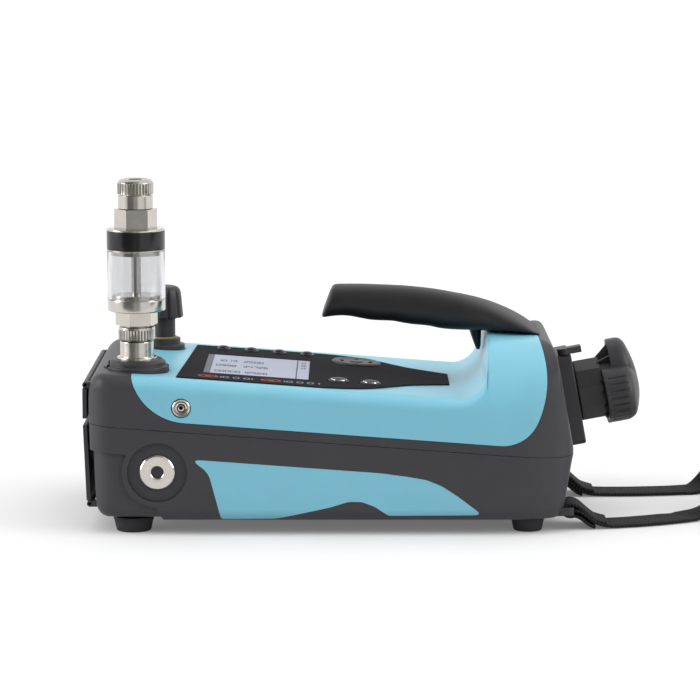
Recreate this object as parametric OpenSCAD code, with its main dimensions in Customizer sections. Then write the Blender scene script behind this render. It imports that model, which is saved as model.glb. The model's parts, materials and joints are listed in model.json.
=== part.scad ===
// Portable pressure calibrator: a two-shell casing with a cantilevered carrying handle, a display deck,
// a moisture trap on the test port, a vent valve, a side port and a rear volume adjuster.
// Lengths are in millimetres. +X runs to the rear, -Y is the side with the ports, +Z is up.
// In the notes below, u is the distance behind the front face, and the deck frame is tilted with the deck.

/* [Casing] */
// Length of the casing
body_l = 300; // [285:1:330]
// Width of the casing
body_w = 170; // [160:1:190]
// Wall of the casing shells
wall = 3; // [2.4:0.1:3.6]
// Thickness of the deck
deck_t = 5; // [4.5:0.1:6]
// Height of the parting plane at the front face
split_h = 69; // [66:0.5:72]
// Height of the deck above the parting plane
deck_h = 32; // [31:0.5:35]
// Slope of the deck and of the parting plane, down to the rear
slope = 4.2; // [3.6:0.1:4.6]
// Height of the top of the hump below the handle
hump_h = 117; // [114:0.5:120]
// Length of the hump, from its front to the rear of the casing
hump_l = 55; // [52:0.5:58]
// Radius of the hump across the casing
dome_r = 45; // [40:1:48]
// Radius of the hollow between the deck and the hump
neck_r = 16; // [12:1:18]
// Radius of the edges along the deck
deck_r = 8; // [6:0.5:9]
// Radius of the edges along the underside
base_r = 8; // [6:0.5:10]
// Radius of the front corners, seen from above
front_r = 18; // [12:1:22]
// Radius of the rear corners, seen from above
rear_r = 34; // [28:1:36]
// Lean of the lower front face
front_lean = 2.2; // [1:0.1:3]
// Lean of the lower rear face
rear_lean = 12.8; // [11:0.1:15]

/* [Coloured panels] */
// Height of the dark band between the parting plane and the upper cover
band_h = 5.8; // [5:0.1:7]
// Radius of the front corner of the upper cover
cover_front_r = 36; // [32:1:38]
// Thickness of the lower side panels
panel_t = 1.2; // [1:0.1:1.6]
// Depth of the upper edge of the side panels below the parting plane
panel_drop = 16.3; // [15:0.1:18]
// Gap at the seams between shells
seam = 0.15; // [0.1:0.05:0.3]

/* [Feet] */
// Height of the feet
foot_h = 9; // [8:0.5:11]
// Radius of the front feet
foot_front_r = 12.5; // [11:0.5:14]
// Radius of the rear feet
foot_rear_r = 10.5; // [9:0.5:12]
// Distance of the feet from the sides of the casing
foot_in = 22; // [19:0.5:25]

/* [Handle] */
// Height of the top of the handle
handle_h = 146; // [142:0.5:150]
// Width of the grip
grip_w = 32; // [28:1:36]
// Thickness of the grip, top to bottom
grip_t = 20; // [18:0.5:22]
// Width of the handle where it meets the hump
root_w = 62; // [54:1:70]

/* [Display and keys] */
// Length of the display window along the deck
lcd_l = 66; // [60:1:68]
// Width of the display window across the deck
lcd_w = 80; // [70:1:84]
// Thickness of the keypad overlay
overlay_t = 1; // [0.8:0.1:1.4]
// Radius of the four function keys
soft_key_r = 4.5; // [4:0.1:5]
// Radius of the round pad
nav_r = 16; // [14:0.5:17]
// Radius of the two round keys
round_key_r = 6.5; // [5.5:0.1:7]
// Travel of the keys
key_travel = 0.8; // [0.5:0.1:0.9]
// Clearance round the keys
key_gap = 0.3; // [0.2:0.05:0.4]
// Distance from the rear of the casing to the main board
board_in = 93; // [92:1:110]

/* [Test port and trap] */
// Radius of the port flange
flange_r = 19.8; // [18:0.1:21]
// Outer radius of the clear bowl
bowl_r = 18; // [17:0.1:19]
// Wall of the clear bowl
bowl_wall = 2.5; // [2:0.1:3.5]
// Visible height of the clear bowl
bowl_h = 30.5; // [26:0.5:36]
// Radius of the lower knurled collar
collar_r = 11.4; // [10.8:0.1:12.4]
// Radius of the upper knurled cap
cap_r = 11.2; // [10.6:0.1:12.2]
// Across flats of the two hexagons
hex_af = 23; // [22:0.1:25]
// Radius of the outlet bore
outlet_bore = 4.3; // [3.5:0.1:5]
// Running clearance of turning pieces, on the radius
run_gap = 0.05; // [0.02:0.01:0.08]
// Clearance of fixed pins and stubs in their bores, on the radius
pin_gap = 0.02; // [0.01:0.01:0.04]

/* [Vent valve] */
// Radius of the valve flange
valve_flange_r = 13.3; // [12.4:0.1:14.5]
// Radius of the valve stem
valve_stem_r = 7.2; // [6.4:0.1:7.6]
// Radius of the valve knob
valve_knob_r = 12.5; // [11:0.1:14]
// Height of the valve knob
valve_knob_h = 21; // [18:0.5:24]

/* [Side connections] */
// Radius of the side port fitting
side_port_r = 11.4; // [10.5:0.1:12.5]
// Radius of the side port bore
side_bore = 3.75; // [3:0.05:4.5]
// Radius of the power socket
jack_r = 7; // [6.4:0.1:7.6]
// Radius of the power socket bore
jack_bore = 2.75; // [2.5:0.05:3.2]

/* [Rear adjuster] */
// Tilt of the adjuster axis, up to the rear
rear_tilt = 10.5; // [9:0.1:12]
// Width of the rear plate
plate_w = 46; // [44:1:52]
// Height of the rear plate
plate_h = 55; // [51:0.5:57]
// Thickness of the rear plate
plate_t = 11; // [10:0.1:12]
// Radius of each lobe of the adjuster knob
lobe_r = 17.5; // [16:0.1:19]
// Distance of the lobe centres from the axis
lobe_off = 12; // [11:0.1:13]
// Depth of the lobed part of the knob
knob_d = 23; // [20:0.5:25]
// Radius of the ten-sided collar
drum_r = 20; // [18:0.1:21]
// Length of the ten-sided collar
drum_l = 16.6; // [14:0.1:18]
// Bore of the adjuster cylinder
adj_bore = 11; // [9.5:0.1:12]
// Wall of the adjuster cylinder
adj_wall = 4; // [3:0.1:4.5]
// Length of the adjuster cylinder
adj_l = 73; // [68:1:76]
// Radius of the lead screw
screw_r = 5; // [4:0.1:6]
// Travel of the piston
piston_travel = 28.5; // [20:0.5:30]

/* [Front doors] */
// Thickness of the two front doors
door_t = 2.6; // [2.2:0.1:3]
// Width of the battery door
door_w = 140; // [130:1:142]
// Height of the connector cover
lid_h = 21; // [19:0.5:22]
// Radius of the hinge pins
pin_r = 1; // [0.8:0.05:1.2]

/* [Strap] */
// Width of the webbing
strap_w = 25; // [20:1:26]
// Thickness of the webbing
strap_t = 2; // [1.4:0.1:2.4]
// Distance of the strap lugs from the middle plane
lug_y = 54; // [50:0.5:57]

/* [Hidden] */
$fn = 64;
far = 400;
aqua = [0.45, 0.70, 0.80];
dark = [0.25, 0.25, 0.27];
black = [0.12, 0.12, 0.13];
steel = [0.80, 0.80, 0.80];

// Places along the casing
hump_u = body_l - hump_l;
rear_out = 5.4;
rear_u = body_l + rear_out;
rear_z = 77;
drum_gap = 0.8;
knob_back = drum_gap + drum_l;
knob_dome_r = 60;
lobe_round = 2;
rear_reach = rear_u + (knob_back + knob_d - knob_dome_r) * cos(rear_tilt) + knob_dome_r;
hinge_wall = 0.9;
hinge_r = pin_r + hinge_wall;
door_gap = 0.2;
front_reach = door_gap + 2 * hinge_r;
x_front = -(rear_reach - front_reach) / 2;
half_w = body_w / 2;
foot_y = half_w - foot_in;
cut = 1;
function X(u) = u + x_front;
function split_z(u) = split_h - u * tan(slope);
function deck_z(u) = split_z(u) + deck_h / cos(slope);
function arc(c, r, a0, a1, n = 5) =
  [for (k = [0:n]) c + r * [cos(a0 + (a1 - a0) * k / n), sin(a0 + (a1 - a0) * k / n)]];
function mirrored(points) =
  concat(points, [for (k = [len(points) - 1:-1:0]) [-points[k][0], points[k][1]]]);

// Frames: the tilted deck, the lower front face, the tilted rear axis, and extrusions across and along
module on_deck() translate([x_front, 0, split_h]) rotate([0, slope, 0]) children();
module on_toe() translate([x_front, 0, split_h]) rotate([0, -front_lean, 0]) children();
module on_rear() translate([X(rear_u), 0, rear_z]) rotate([0, -rear_tilt, 0]) children();
module across(y0, y1) translate([x_front, y1, 0]) rotate([90, 0, 0]) linear_extrude(y1 - y0) children();
module along(u0, u1) translate([X(u0), 0, 0]) rotate([90, 0, 90]) linear_extrude(u1 - u0) children();
module to_near(u, z, y) translate([X(u), y, z]) rotate([90, 0, 0]) children();
module pipe(r, bore, h) {
  difference() {
    cylinder(r = r, h = h);
    translate([0, 0, -cut]) cylinder(r = bore, h = h + 2 * cut);
  }
}
module beam(a, b, r) {
  d = b - a;
  translate(a) rotate([0, acos(d[2] / norm(d)), atan2(d[1], d[0])]) cylinder(r = r, h = norm(d));
}
module round_plate(w, h, r, t) {
  a = w / 2 - r;
  b = h / 2 - r;
  linear_extrude(t) polygon(concat(arc([a, b], r, 0, 90), arc([-a, b], r, 90, 180),
    arc([-a, -b], r, 180, 270), arc([a, -b], r, 270, 360)));
}

// Side outline of the casing, drawn inwards by the inset i
waist_r = 20;
waist_z = 57;
crown_r = 66.3;
crown_drop = 42;
crown_z = hump_h - crown_drop;
crown_angle = 50;
front_edge_r = 10;
deck_over = 0.1;
deck_line = split_h * cos(slope) + deck_h + deck_over;
base_u = (cos(rear_lean) * (body_l - waist_r) - sin(rear_lean) * (waist_z - foot_h - base_r)
  + waist_r - base_r) / cos(rear_lean);
neck_c = [hump_u - neck_r, (deck_line + neck_r - sin(slope) * (hump_u - neck_r)) / cos(slope)];
toe_u = (base_r + sin(front_lean) * (split_h - foot_h - base_r)) / cos(front_lean);
brow_c = [front_edge_r, (deck_line - front_edge_r - sin(slope) * front_edge_r) / cos(slope)];
function side_outline(i) = concat(
  arc([base_u, foot_h + base_r], base_r - i, -90, -rear_lean, 3),
  arc([body_l - waist_r, waist_z], waist_r - i, -rear_lean, 0, 2),
  arc([body_l - crown_r, crown_z], crown_r - i, 0, crown_angle, 9),
  [[hump_u + i, crown_z + crown_r * sin(crown_angle)]],
  arc(neck_c, neck_r + i, 0, -90 - slope, 7),
  arc(brow_c, front_edge_r - i, 90 - slope, 180),
  [[i, split_h]],
  arc([toe_u, foot_h + base_r], base_r - i, 180 + front_lean, 270, 3));

// Plan of the casing, and its sections across: the underside, the deck slab and the hump
plan_over = 1;
function plan_outline(i) = concat(
  arc([body_l + plan_over - rear_r, half_w - rear_r], rear_r - i, 0, 90, 6),
  arc([front_r - plan_over, half_w - front_r], front_r - i, 90, 180),
  arc([front_r - plan_over, front_r - half_w], front_r - i, 180, 270),
  arc([body_l + plan_over - rear_r, rear_r - half_w], rear_r - i, 270, 360, 6));
function base_section(i) =
  mirrored(concat(arc([half_w - base_r, foot_h + base_r], base_r - i, -90, 0, 3), [[half_w - i, far]]));
function slab_section(i) = mirrored(concat([[half_w + cut, -far]], [[half_w + cut, 0]],
  arc([half_w - deck_r, deck_h - deck_r], deck_r - i, 0, 90)));
function hump_section(i) =
  mirrored(concat([[half_w + cut, 0]], arc([half_w - dome_r, hump_h - dome_r], dome_r - i, 0, 90, 9)));

ahead = 20;
neck_u = hump_u - neck_r - 2;

// The whole casing as a solid, inset by i, and the hollow in it below the thick deck
module casing_form(i) {
  intersection() {
    across(-far / 2, far / 2) polygon(side_outline(i));
    translate([x_front, 0, 0]) linear_extrude(far) polygon(plan_outline(i));
    along(-ahead, far) polygon(base_section(i));
    union() {
      on_deck() rotate([90, 0, 90]) translate([0, 0, -ahead]) linear_extrude(far) polygon(slab_section(i));
      along(neck_u, far) polygon(hump_section(i));
    }
  }
}
deck_end = neck_u - cut;
module cavity() {
  difference() {
    casing_form(wall);
    on_deck() translate([-ahead, -far / 2, deck_h - deck_t]) cube([deck_end + ahead, far, far]);
  }
}
module above_split() on_deck() translate([-far / 2, -far / 2, seam / 2]) cube([2 * far, far, far]);
module below_split() on_deck() translate([-far / 2, -far / 2, -far - seam / 2]) cube([2 * far, far, far]);

// Outline of the upper cover, seen from the side, drawn inwards by g
cover_u = 26;
cover_rear_r = 66;
cover_rear_in = 17.8;
cover_rear_drop = 20;
cover_rear_c = [body_l - cover_rear_in - cover_rear_r, hump_h - cover_rear_drop];
cover_corner_r = 24;
cover_line = split_h * cos(slope) + band_h;
cover_front_c = [cover_u + cover_front_r,
  (cover_line + cover_front_r - sin(slope) * (cover_u + cover_front_r)) / cos(slope)];
corner_rise = (cover_line + cover_corner_r) / cos(slope) - cover_rear_c[1];
corner_a = 1 + pow(tan(slope), 2);
corner_b = -tan(slope) * corner_rise - cover_rear_c[0];
corner_c = pow(cover_rear_c[0], 2) + pow(corner_rise, 2) - pow(cover_rear_r - cover_corner_r, 2);
corner_u = (-corner_b + sqrt(corner_b * corner_b - corner_a * corner_c)) / corner_a;
cover_corner_c = [corner_u, corner_rise + cover_rear_c[1] - tan(slope) * corner_u];
corner_angle = atan2(cover_corner_c[1] - cover_rear_c[1], cover_corner_c[0] - cover_rear_c[0]);
function cover_outline(g) = concat(
  arc(cover_front_c, cover_front_r - g, 180, 270 - slope, 8),
  arc(cover_corner_c, cover_corner_r - g, -90 - slope, corner_angle),
  arc(cover_rear_c, cover_rear_r - g, corner_angle, crown_angle, 10),
  [[cover_u + g, far]]);

// Outline of the lower side panels, with the arch above the finger hollow
function panel_top(u) = split_z(u) - panel_drop / cos(slope);
panel_u = 63;
panel_rear = body_l - 57;
hollow_u = 164;
hollow_h = 12.6;
panel_outline = [[panel_u, panel_top(panel_u)], [panel_u + 11, foot_h + 31], [panel_u + 19, foot_h + 1],
  [hollow_u - 49, foot_h + 1.5], [hollow_u - 15, foot_h + hollow_h - 3.4], [hollow_u - 4, foot_h + hollow_h],
  [hollow_u + 4, foot_h + hollow_h], [hollow_u + 12, foot_h + hollow_h - 2.9], [hollow_u + 21, foot_h + 3.6],
  [panel_rear, foot_h + 4], [panel_rear - 16, foot_h + 16], [panel_rear - 25, foot_h + 22],
  [panel_rear - 35, panel_top(panel_rear - 35) - 2.2], [panel_rear - 47, panel_top(panel_rear - 47) - 1],
  [panel_rear - 63, panel_top(panel_rear - 63)]];

// Places of the manifold along the casing, and of the keys on the deck, as [along, across, radius]
manifold_u = 10;
manifold_l = 50;
soft_key_a = 76;
soft_key_step = 18.3;
soft_keys = [for (k = [0:3]) [soft_key_a + soft_key_step * k, 55, soft_key_r]];
nav_place = [163, 38, nav_r];
round_keys = [[152, -46, round_key_r], [172, -47, round_key_r]];
all_keys = concat(soft_keys, [nav_place], round_keys);
lcd_a = 67.2;
lcd_y = -49.5;
lcd_gap = 0.2;
overlay_top = deck_h + overlay_t;
board_top = 16;
board_t = 2;
board_w = 126;
board_a = manifold_u + manifold_l + 2;
board_l = body_l - board_in - board_a;
post_in = 4;
post_places = [for (a = [board_a + post_in, board_a + board_l - post_in], s = [-1, 1])
  [a, s * (board_w / 2 - post_in)]];
post_r = 3.5;
post_screw_r = 1.2;
post_screw_l = 7;
overlay_a = 56;
taper_a = 143;
taper_l = hump_u - 23 - taper_a;
overlay_edge = [[overlay_a, 70], [taper_a, 70], [taper_a + 0.22 * taper_l, 66],
  [taper_a + 0.41 * taper_l, 57], [taper_a + 0.57 * taper_l, 44],
  [taper_a + 0.71 * taper_l, 34], [taper_a + taper_l, 21]];
overlay_outline = concat(overlay_edge,
  [for (k = [len(overlay_edge) - 1:-1:0]) [overlay_edge[k][0], -overlay_edge[k][1]]]);

// Heights of the port, the trap and the valve
port_u = 28.6;
port_y = -50;
seat_sink = 0.4;
port_seat = deck_z(port_u + flange_r) - seat_sink;
flange_low = 4.5;
flange_high = 4;
nipple_z = port_seat + flange_low + flange_high;
nipple_rim = 1.5;
nipple_h = 10;
collar_z = nipple_z + nipple_rim + nipple_h;
collar_h = 9.5;
end_gap = 0.25;
base_hex_z = collar_z + collar_h + 2 * end_gap;
base_hex_h = 9;
base_ring_h = 7;
bowl_z = base_hex_z + base_hex_h + base_ring_h;
head_z = bowl_z + bowl_h;
band_len = 13.5;
head_hex_h = 12;
outlet_h = 8.5;
cap_h = 10;
spigot_r = 7.5;
cap_spigot_r = 6.8;
stub_r = 6;
stub_depth = 8;
flow_r = 2;
plug_h = 3;
valve_u = 39.5;
valve_y = 50;
valve_seat = deck_z(valve_u + valve_flange_r) - seat_sink;
valve_flange_h = 8;
valve_ring_h = 1.5;
valve_stem_h = 21.2;
valve_pin_r = 4;
port_column_r = 15.5;
valve_column_r = 9.6;
column_gap = 0.4;

// Manifold, battery and screw places
manifold_in = 17;
manifold_w = body_w - 2 * manifold_in;
manifold_z = 78;
manifold_top = 90;
sensor_r = 10;
sensor_h = 18;
side_port_u = 42.6;
side_port_z = 39.7;
side_pocket_r = 18.5;
side_rim = 2.5;
side_body_r = 8;
side_body_l = 24;
side_deep = 40;
jack_u = 57.6;
jack_rise = 15;
jack_z = split_z(jack_u) + jack_rise;
jack_body_r = 5;
jack_l = 14;
jack_rim = 1;
case_post_r = 5;
case_screw_r = 1.9;
case_head_r = 3.6;
case_head_h = 2.4;
case_screw_in = 1.6;
case_screw_y = half_w - base_r - case_head_r - case_screw_in;
case_screw_places = [for (u = [88, body_l - 45], s = [-1, 1]) [u, s * case_screw_y]];
boss_drop = 1;
rib_t = 4;
screw_bite = 5;
pack_u = 8;
pack_l = 64;
pack_y = -46;
pack_w = 104;
pack_z = 20;
pack_h = 26;
pack_gap = 0.5;
rail_in = 8;
rail_w = 6;
boss_l = 20;
handle_screw_places = [for (u = [11, 24]) [hump_u + u, 0]];
handle_screw_r = 2.5;
bracket_t = 3.4;
lid_drop = 9.2;
lid_axis_z = deck_z(0) - lid_drop;
door_axis = split_h - foot_h - base_r - 0.5;
ear_w = 5;
leaf_gap = 0.25;
ear_gap = 0.3;
foot_front_u = 26.6;
foot_rear_u = body_l - 28.5;
lug_in = 15;
lug_wall = 3.5;
lug_t = 5;
lug_rise = 0.6;
lug_z = foot_h + lug_rise;
lug_u = body_l - lug_in;
slot_in = 6;
slot_l = 5.5;
slot_gap = 0.7;
slot_over = 4;
seat_gap = 0.8;
seat_deep = 30;
plate_cut = 60;
shell_over = 1.5;

// Cuts through the deck: the display window, the keys, and the seats of the port and the valve
module deck_cuts() {
  on_deck() {
    panel_holes();
  }
  seat_cut(port_u, port_y, port_seat, flange_r, port_column_r);
  seat_cut(valve_u, valve_y, valve_seat, valve_flange_r, valve_column_r);
}
module panel_holes() {
  translate([lcd_a - lcd_gap, lcd_y - lcd_gap, 0]) cube([lcd_l + 2 * lcd_gap, lcd_w + 2 * lcd_gap, far]);
  for (k = all_keys) translate([k[0], k[1], 0]) cylinder(r = k[2] + key_gap, h = far);
}
module seat_cut(u, y, z, r, column) {
  translate([X(u), y, z]) cylinder(r = r + seat_gap, h = far);
  translate([X(u), y, z - seat_deep]) cylinder(r = column + column_gap, h = far);
}
module rear_cut() {
  on_rear() {
    translate([-plate_t - door_gap, 0, 0]) rotate([90, 0, 90])
      round_plate(plate_w + 2 * door_gap, plate_h + 2 * door_gap, plate_r, plate_cut);
    translate([lever_place[0] - lever_r - slot_gap, lever_place[1] - lever_l, plate_h / 2])
      cube([plate_cut, 2 * lever_l, lever_t + shell_over]);
  }
}

// Casing shells
module cover_shell() {
  difference() {
    union() {
      difference() {
        intersection() {
          casing_form(0);
          above_split();
          across(-far / 2, far / 2) polygon(cover_outline(seam / 2));
        }
        cavity();
      }
      on_deck() for (p = post_places) translate([p[0], p[1], board_top])
        cylinder(r = post_r, h = deck_h - deck_t - board_top + cut);
    }
    deck_cuts();
    rear_cut();
    on_deck() for (p = post_places) translate([p[0], p[1], board_top - cut])
      cylinder(r = post_screw_r, h = post_screw_l + 2 * cut);
    to_near(jack_u, jack_z, jack_l - half_w) cylinder(r = jack_body_r + run_gap, h = far);
    to_near(jack_u, jack_z, jack_rim - half_w) cylinder(r = jack_r + leaf_gap, h = far);
    handle_screw_holes();
  }
}

// The cover is moulded in two, met in the hollow: the deck with its sides, and the hump under the handle
hollow_in = 9;
cover_joint = hump_u - hollow_in;
module upper_cover() {
  color(aqua) intersection() {
    cover_shell();
    translate([X(cover_joint - seam / 2) - far, -far / 2, 0]) cube(far);
  }
}
module hump_cover() {
  color(aqua) intersection() {
    cover_shell();
    translate([X(cover_joint + seam / 2), -far / 2, 0]) cube(far);
  }
}
module upper_frame() {
  color(dark) difference() {
    union() {
      difference() {
        intersection() {
          casing_form(0);
          above_split();
        }
        cavity();
        across(-far / 2, far / 2) polygon(cover_outline(-seam / 2));
      }
      intersection() {
        for (p = case_screw_places) {
          translate([X(p[0]), p[1], 0]) cylinder(r = case_post_r, h = far);
          translate([X(p[0]) - rib_t / 2, p[1] < 0 ? -half_w : p[1], 0])
            cube([rib_t, half_w - case_screw_y, far]);
        }
        casing_form(wall / 2);
        on_deck() translate([0, -far / 2, seam / 2]) cube([far, far, band_h - boss_drop]);
      }
      front_ears(lid_axis_z);
    }
    deck_cuts();
    rear_cut();
    translate([X(-ahead), -strip_w / 2 - door_gap, strip_z - door_gap])
      cube([2 * ahead, strip_w + 2 * door_gap, strip_h + 2 * door_gap]);
    ear_bores(lid_axis_z);
    for (p = case_screw_places) translate([X(p[0]), p[1], 0])
      cylinder(r = case_screw_r + pin_gap, h = split_z(p[0]) + screw_bite);
  }
}
strip_w = 100;
strip_z = 79;
strip_h = 11;
strip_l = 8.5;
module front_ears(z) {
  for (s = [-1, 1]) translate([X(-door_gap - hinge_r), (s * (door_w - ear_w) + ear_w) / 2, z])
    rotate([90, 0, 0]) {
      cylinder(r = hinge_r, h = ear_w);
      translate([0, -hinge_r, 0]) cube([hinge_r + door_gap + wall / 2, 2 * hinge_r, ear_w]);
    }
}
module ear_bores(z) {
  translate([X(-door_gap - hinge_r), far / 2, z]) rotate([90, 0, 0]) cylinder(r = pin_r + pin_gap, h = far);
}
module leaf(height, up) {
  barrel = door_w - 2 * ear_w - 2 * leaf_gap;
  difference() {
    union() {
      translate([0, barrel / 2, 0]) rotate([90, 0, 0]) cylinder(r = hinge_r, h = barrel);
      translate([-hinge_r, -door_w / 2, up > 0 ? hinge_r + ear_gap : -height])
        cube([door_t, door_w, height - hinge_r - ear_gap]);
      translate([-hinge_r, -barrel / 2, up > 0 ? 0 : -hinge_r - cut]) cube([door_t, barrel, hinge_r + cut]);
    }
    translate([0, far / 2, 0]) rotate([90, 0, 0]) cylinder(r = pin_r + run_gap, h = far);
  }
}
module lower_case() {
  color(dark) difference() {
    union() {
      difference() {
        intersection() {
          casing_form(0);
          below_split();
        }
        cavity();
        side_panel_form(seam);
      }
      intersection() {
        union() {
          for (p = case_screw_places) translate([X(p[0]), p[1], 0]) cylinder(r = case_post_r, h = far);
          for (y = [pack_y + rail_in, pack_y + pack_w - rail_in - rail_w])
            translate([X(pack_u), y, 0]) cube([pack_l, rail_w, pack_z]);
          to_near(side_port_u, side_port_z, boss_l - half_w)
            cylinder(r = side_pocket_r + side_rim, h = boss_l - 2);
        }
        casing_form(wall / 2);
        below_split();
      }
      for (s = [-1, 1]) translate([X(lug_u), s * lug_y - strap_w / 2 - lug_wall, lug_z])
        cube([lug_in, strap_w + 2 * lug_wall, lug_t]);
      on_toe() translate([-x_front, 0, -split_h]) front_ears(split_h - door_axis);
    }
    for (p = case_screw_places) translate([X(p[0]), p[1], 0]) {
      cylinder(r = case_screw_r + leaf_gap, h = far);
      cylinder(r = case_head_r + ear_gap, h = foot_h + wall);
    }
    for (s = [-1, 1]) translate([X(lug_u + slot_in), s * lug_y - strap_w / 2 - slot_gap, 0])
      cube([slot_l, strap_w + 2 * slot_gap, lug_z + lug_t + slot_over]);
    translate([X(-ahead), pack_y - pack_gap, pack_z - pack_gap])
      cube([pack_u + ahead, pack_w + 2 * pack_gap, pack_h + 2 * pack_gap]);
    on_toe() translate([-x_front, 0, -split_h]) ear_bores(split_h - door_axis);
    to_near(side_port_u, side_port_z, side_rim - half_w) cylinder(r = side_pocket_r, h = far);
    to_near(side_port_u, side_port_z, side_deep - half_w) cylinder(r = side_body_r + run_gap, h = far);
  }
}
panel_in = base_r - cut;
module side_panel_form(g) {
  intersection() {
    difference() {
      casing_form(-cut);
      casing_form(panel_t + g);
    }
    union() for (s = [-1, 1]) translate([0, s * half_w, 0])
      across(-panel_in, panel_in) polygon(panel_outline);
  }
}
module side_panel(s) {
  color(aqua) intersection() {
    difference() {
      casing_form(0);
      casing_form(panel_t);
    }
    translate([0, s * half_w, 0]) across(-panel_in, panel_in) polygon(panel_outline);
  }
}

// Handle: a loft of rounded sections, [distance from the hump front, bottom, top, half width]
root_gap = 0.2;
root_low = hump_h + root_gap;
root_half = root_w / 2;
grip_half = grip_w / 2;
grip_low = handle_h - grip_t;
handle_sections = [[-101.6, handle_h - 19, handle_h - 12, 6], [-99, grip_low - 0.6, handle_h - 6.5, 11],
  [-94.5, grip_low - 0.6, handle_h - 0.8, grip_half - 2], [-85, grip_low, handle_h, grip_half],
  [-69, grip_low - 2.4, handle_h - 0.2, grip_half], [-52, grip_low - 3.6, handle_h - 0.9, grip_half],
  [-33, grip_low - 6.4, handle_h - 2.8, grip_half + 0.5], [-20, grip_low - 8.6, handle_h - 5, grip_half + 2],
  [-9, hump_h + 0.5, handle_h - 7.6, grip_half + 5], [-1, root_low, handle_h - 9.4, root_half - 8],
  [6, root_low, handle_h - 11.8, root_half - 3], [15, root_low, handle_h - 15.5, root_half],
  [25, root_low, handle_h - 21.2, root_half], [34, root_low, hump_h + 1.4, root_half - 4]];
handle_sides = 24;
handle_power = 0.8;
function power(v, p) = sign(v) * pow(abs(v), p);
function handle_ring(s) = [for (k = [0:handle_sides - 1]) let (t = -360 * k / handle_sides)
  [X(hump_u + s[0]), s[3] * power(cos(t), handle_power),
    (s[1] + s[2]) / 2 + (s[2] - s[1]) / 2 * power(sin(t), handle_power)]];
module loft(rings) {
  n = len(rings[0]);
  m = len(rings);
  polyhedron(points = [for (r = rings) each r], faces = concat(
    [for (i = [0:m - 2], k = [0:n - 1]) each [[i * n + k, i * n + (k + 1) % n, (i + 1) * n + k],
      [(i + 1) * n + k, i * n + (k + 1) % n, (i + 1) * n + (k + 1) % n]]],
    [[for (k = [n - 1:-1:0]) k]], [[for (k = [0:n - 1]) (m - 1) * n + k]]));
}
tongue_w = 18;
handle_bite = 4;
bracket_z = hump_h - wall - bracket_t - 0.1;
handle_head_h = 2.6;
handle_head_r = 4.2;
bracket_in = 5;
bracket_l = 26;
bracket_w = 40;
module handle() {
  color(black) difference() {
    union() {
      loft([for (s = handle_sections) handle_ring(s)]);
      across(-tongue_w / 2, tongue_w / 2) polygon([[hump_u - 9, hump_h + 5], [hump_u - 7, hump_h - 1],
        [hump_u - 2.4, hump_h - 13], [hump_u - root_gap, hump_h - 3], [hump_u - root_gap, hump_h + 5]]);
    }
    for (p = handle_screw_places) translate([X(p[0]), p[1], hump_h - cut])
      cylinder(r = handle_screw_r + pin_gap, h = handle_bite + 2.5 * cut);
  }
}
module handle_bracket() {
  color(steel) difference() {
    translate([X(hump_u + bracket_in), -bracket_w / 2, bracket_z]) cube([bracket_l, bracket_w, bracket_t]);
    handle_screw_holes();
  }
}
module handle_screw_holes() {
  for (p = handle_screw_places) translate([X(p[0]), p[1], hump_h - dome_r / 2])
    cylinder(r = handle_screw_r + leaf_gap, h = dome_r);
}
module handle_screws() {
  color(steel) for (p = handle_screw_places) translate([X(p[0]), p[1], bracket_z]) {
    cylinder(r = handle_screw_r, h = hump_h - bracket_z + handle_bite + cut);
    translate([0, 0, -handle_head_h]) cylinder(r = handle_head_r, h = handle_head_h);
  }
}

// Display and keys, in the deck frame
module membrane_panel() {
  color(black) on_deck() difference() {
    translate([0, 0, deck_h]) linear_extrude(overlay_t) polygon(overlay_outline);
    panel_holes();
  }
}
glass_t = 2;
frame_over = 3;
module lcd_glass() {
  color([0.75, 0.78, 0.88]) on_deck() translate([lcd_a, lcd_y, overlay_top - glass_t])
    cube([lcd_l, lcd_w, glass_t]);
}
module lcd_module() {
  color([0.5, 0.55, 0.5]) on_deck() {
    translate([lcd_a - frame_over, lcd_y - frame_over, board_top])
      cube([lcd_l + 2 * frame_over, lcd_w + 2 * frame_over, deck_low - board_top]);
    translate([lcd_a + cut, lcd_y + cut, deck_low])
      cube([lcd_l - 2 * cut, lcd_w - 2 * cut, deck_t + overlay_t - glass_t]);
  }
}
deck_low = deck_h - deck_t;
key_rise = 1.2;
key_lip = 1.2;
key_play = 0.3;
key_lip_over = 0.9;
plunger_r = 3;
plunger_gap = 0.1;
module key(k) {
  color(black) on_deck() translate([k[0], k[1], deck_low - key_play]) {
    cylinder(r = k[2], h = deck_t + overlay_t + key_rise + key_play);
    translate([0, 0, -key_lip]) cylinder(r = k[2] + key_gap + key_lip_over, h = key_lip);
    mirror([0, 0, 1]) cylinder(r = plunger_r, h = deck_low - key_play - board_top - key_travel - plunger_gap);
  }
}
module main_board() {
  color([0.1, 0.4, 0.25]) on_deck() difference() {
    translate([board_a, -board_w / 2, board_top - board_t]) cube([board_l, board_w, board_t]);
    for (p = post_places) translate([p[0], p[1], 0]) cylinder(r = post_screw_r + leaf_gap, h = far);
  }
}
board_head_r = 2.4;
board_head_h = 1.6;
module board_screws() {
  color(steel) on_deck() for (p = post_places) translate([p[0], p[1], board_top - board_t]) {
    cylinder(r = post_screw_r - pin_gap, h = board_t + post_screw_l);
    translate([0, 0, -board_head_h]) cylinder(r = board_head_r, h = board_head_h);
  }
}

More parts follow.
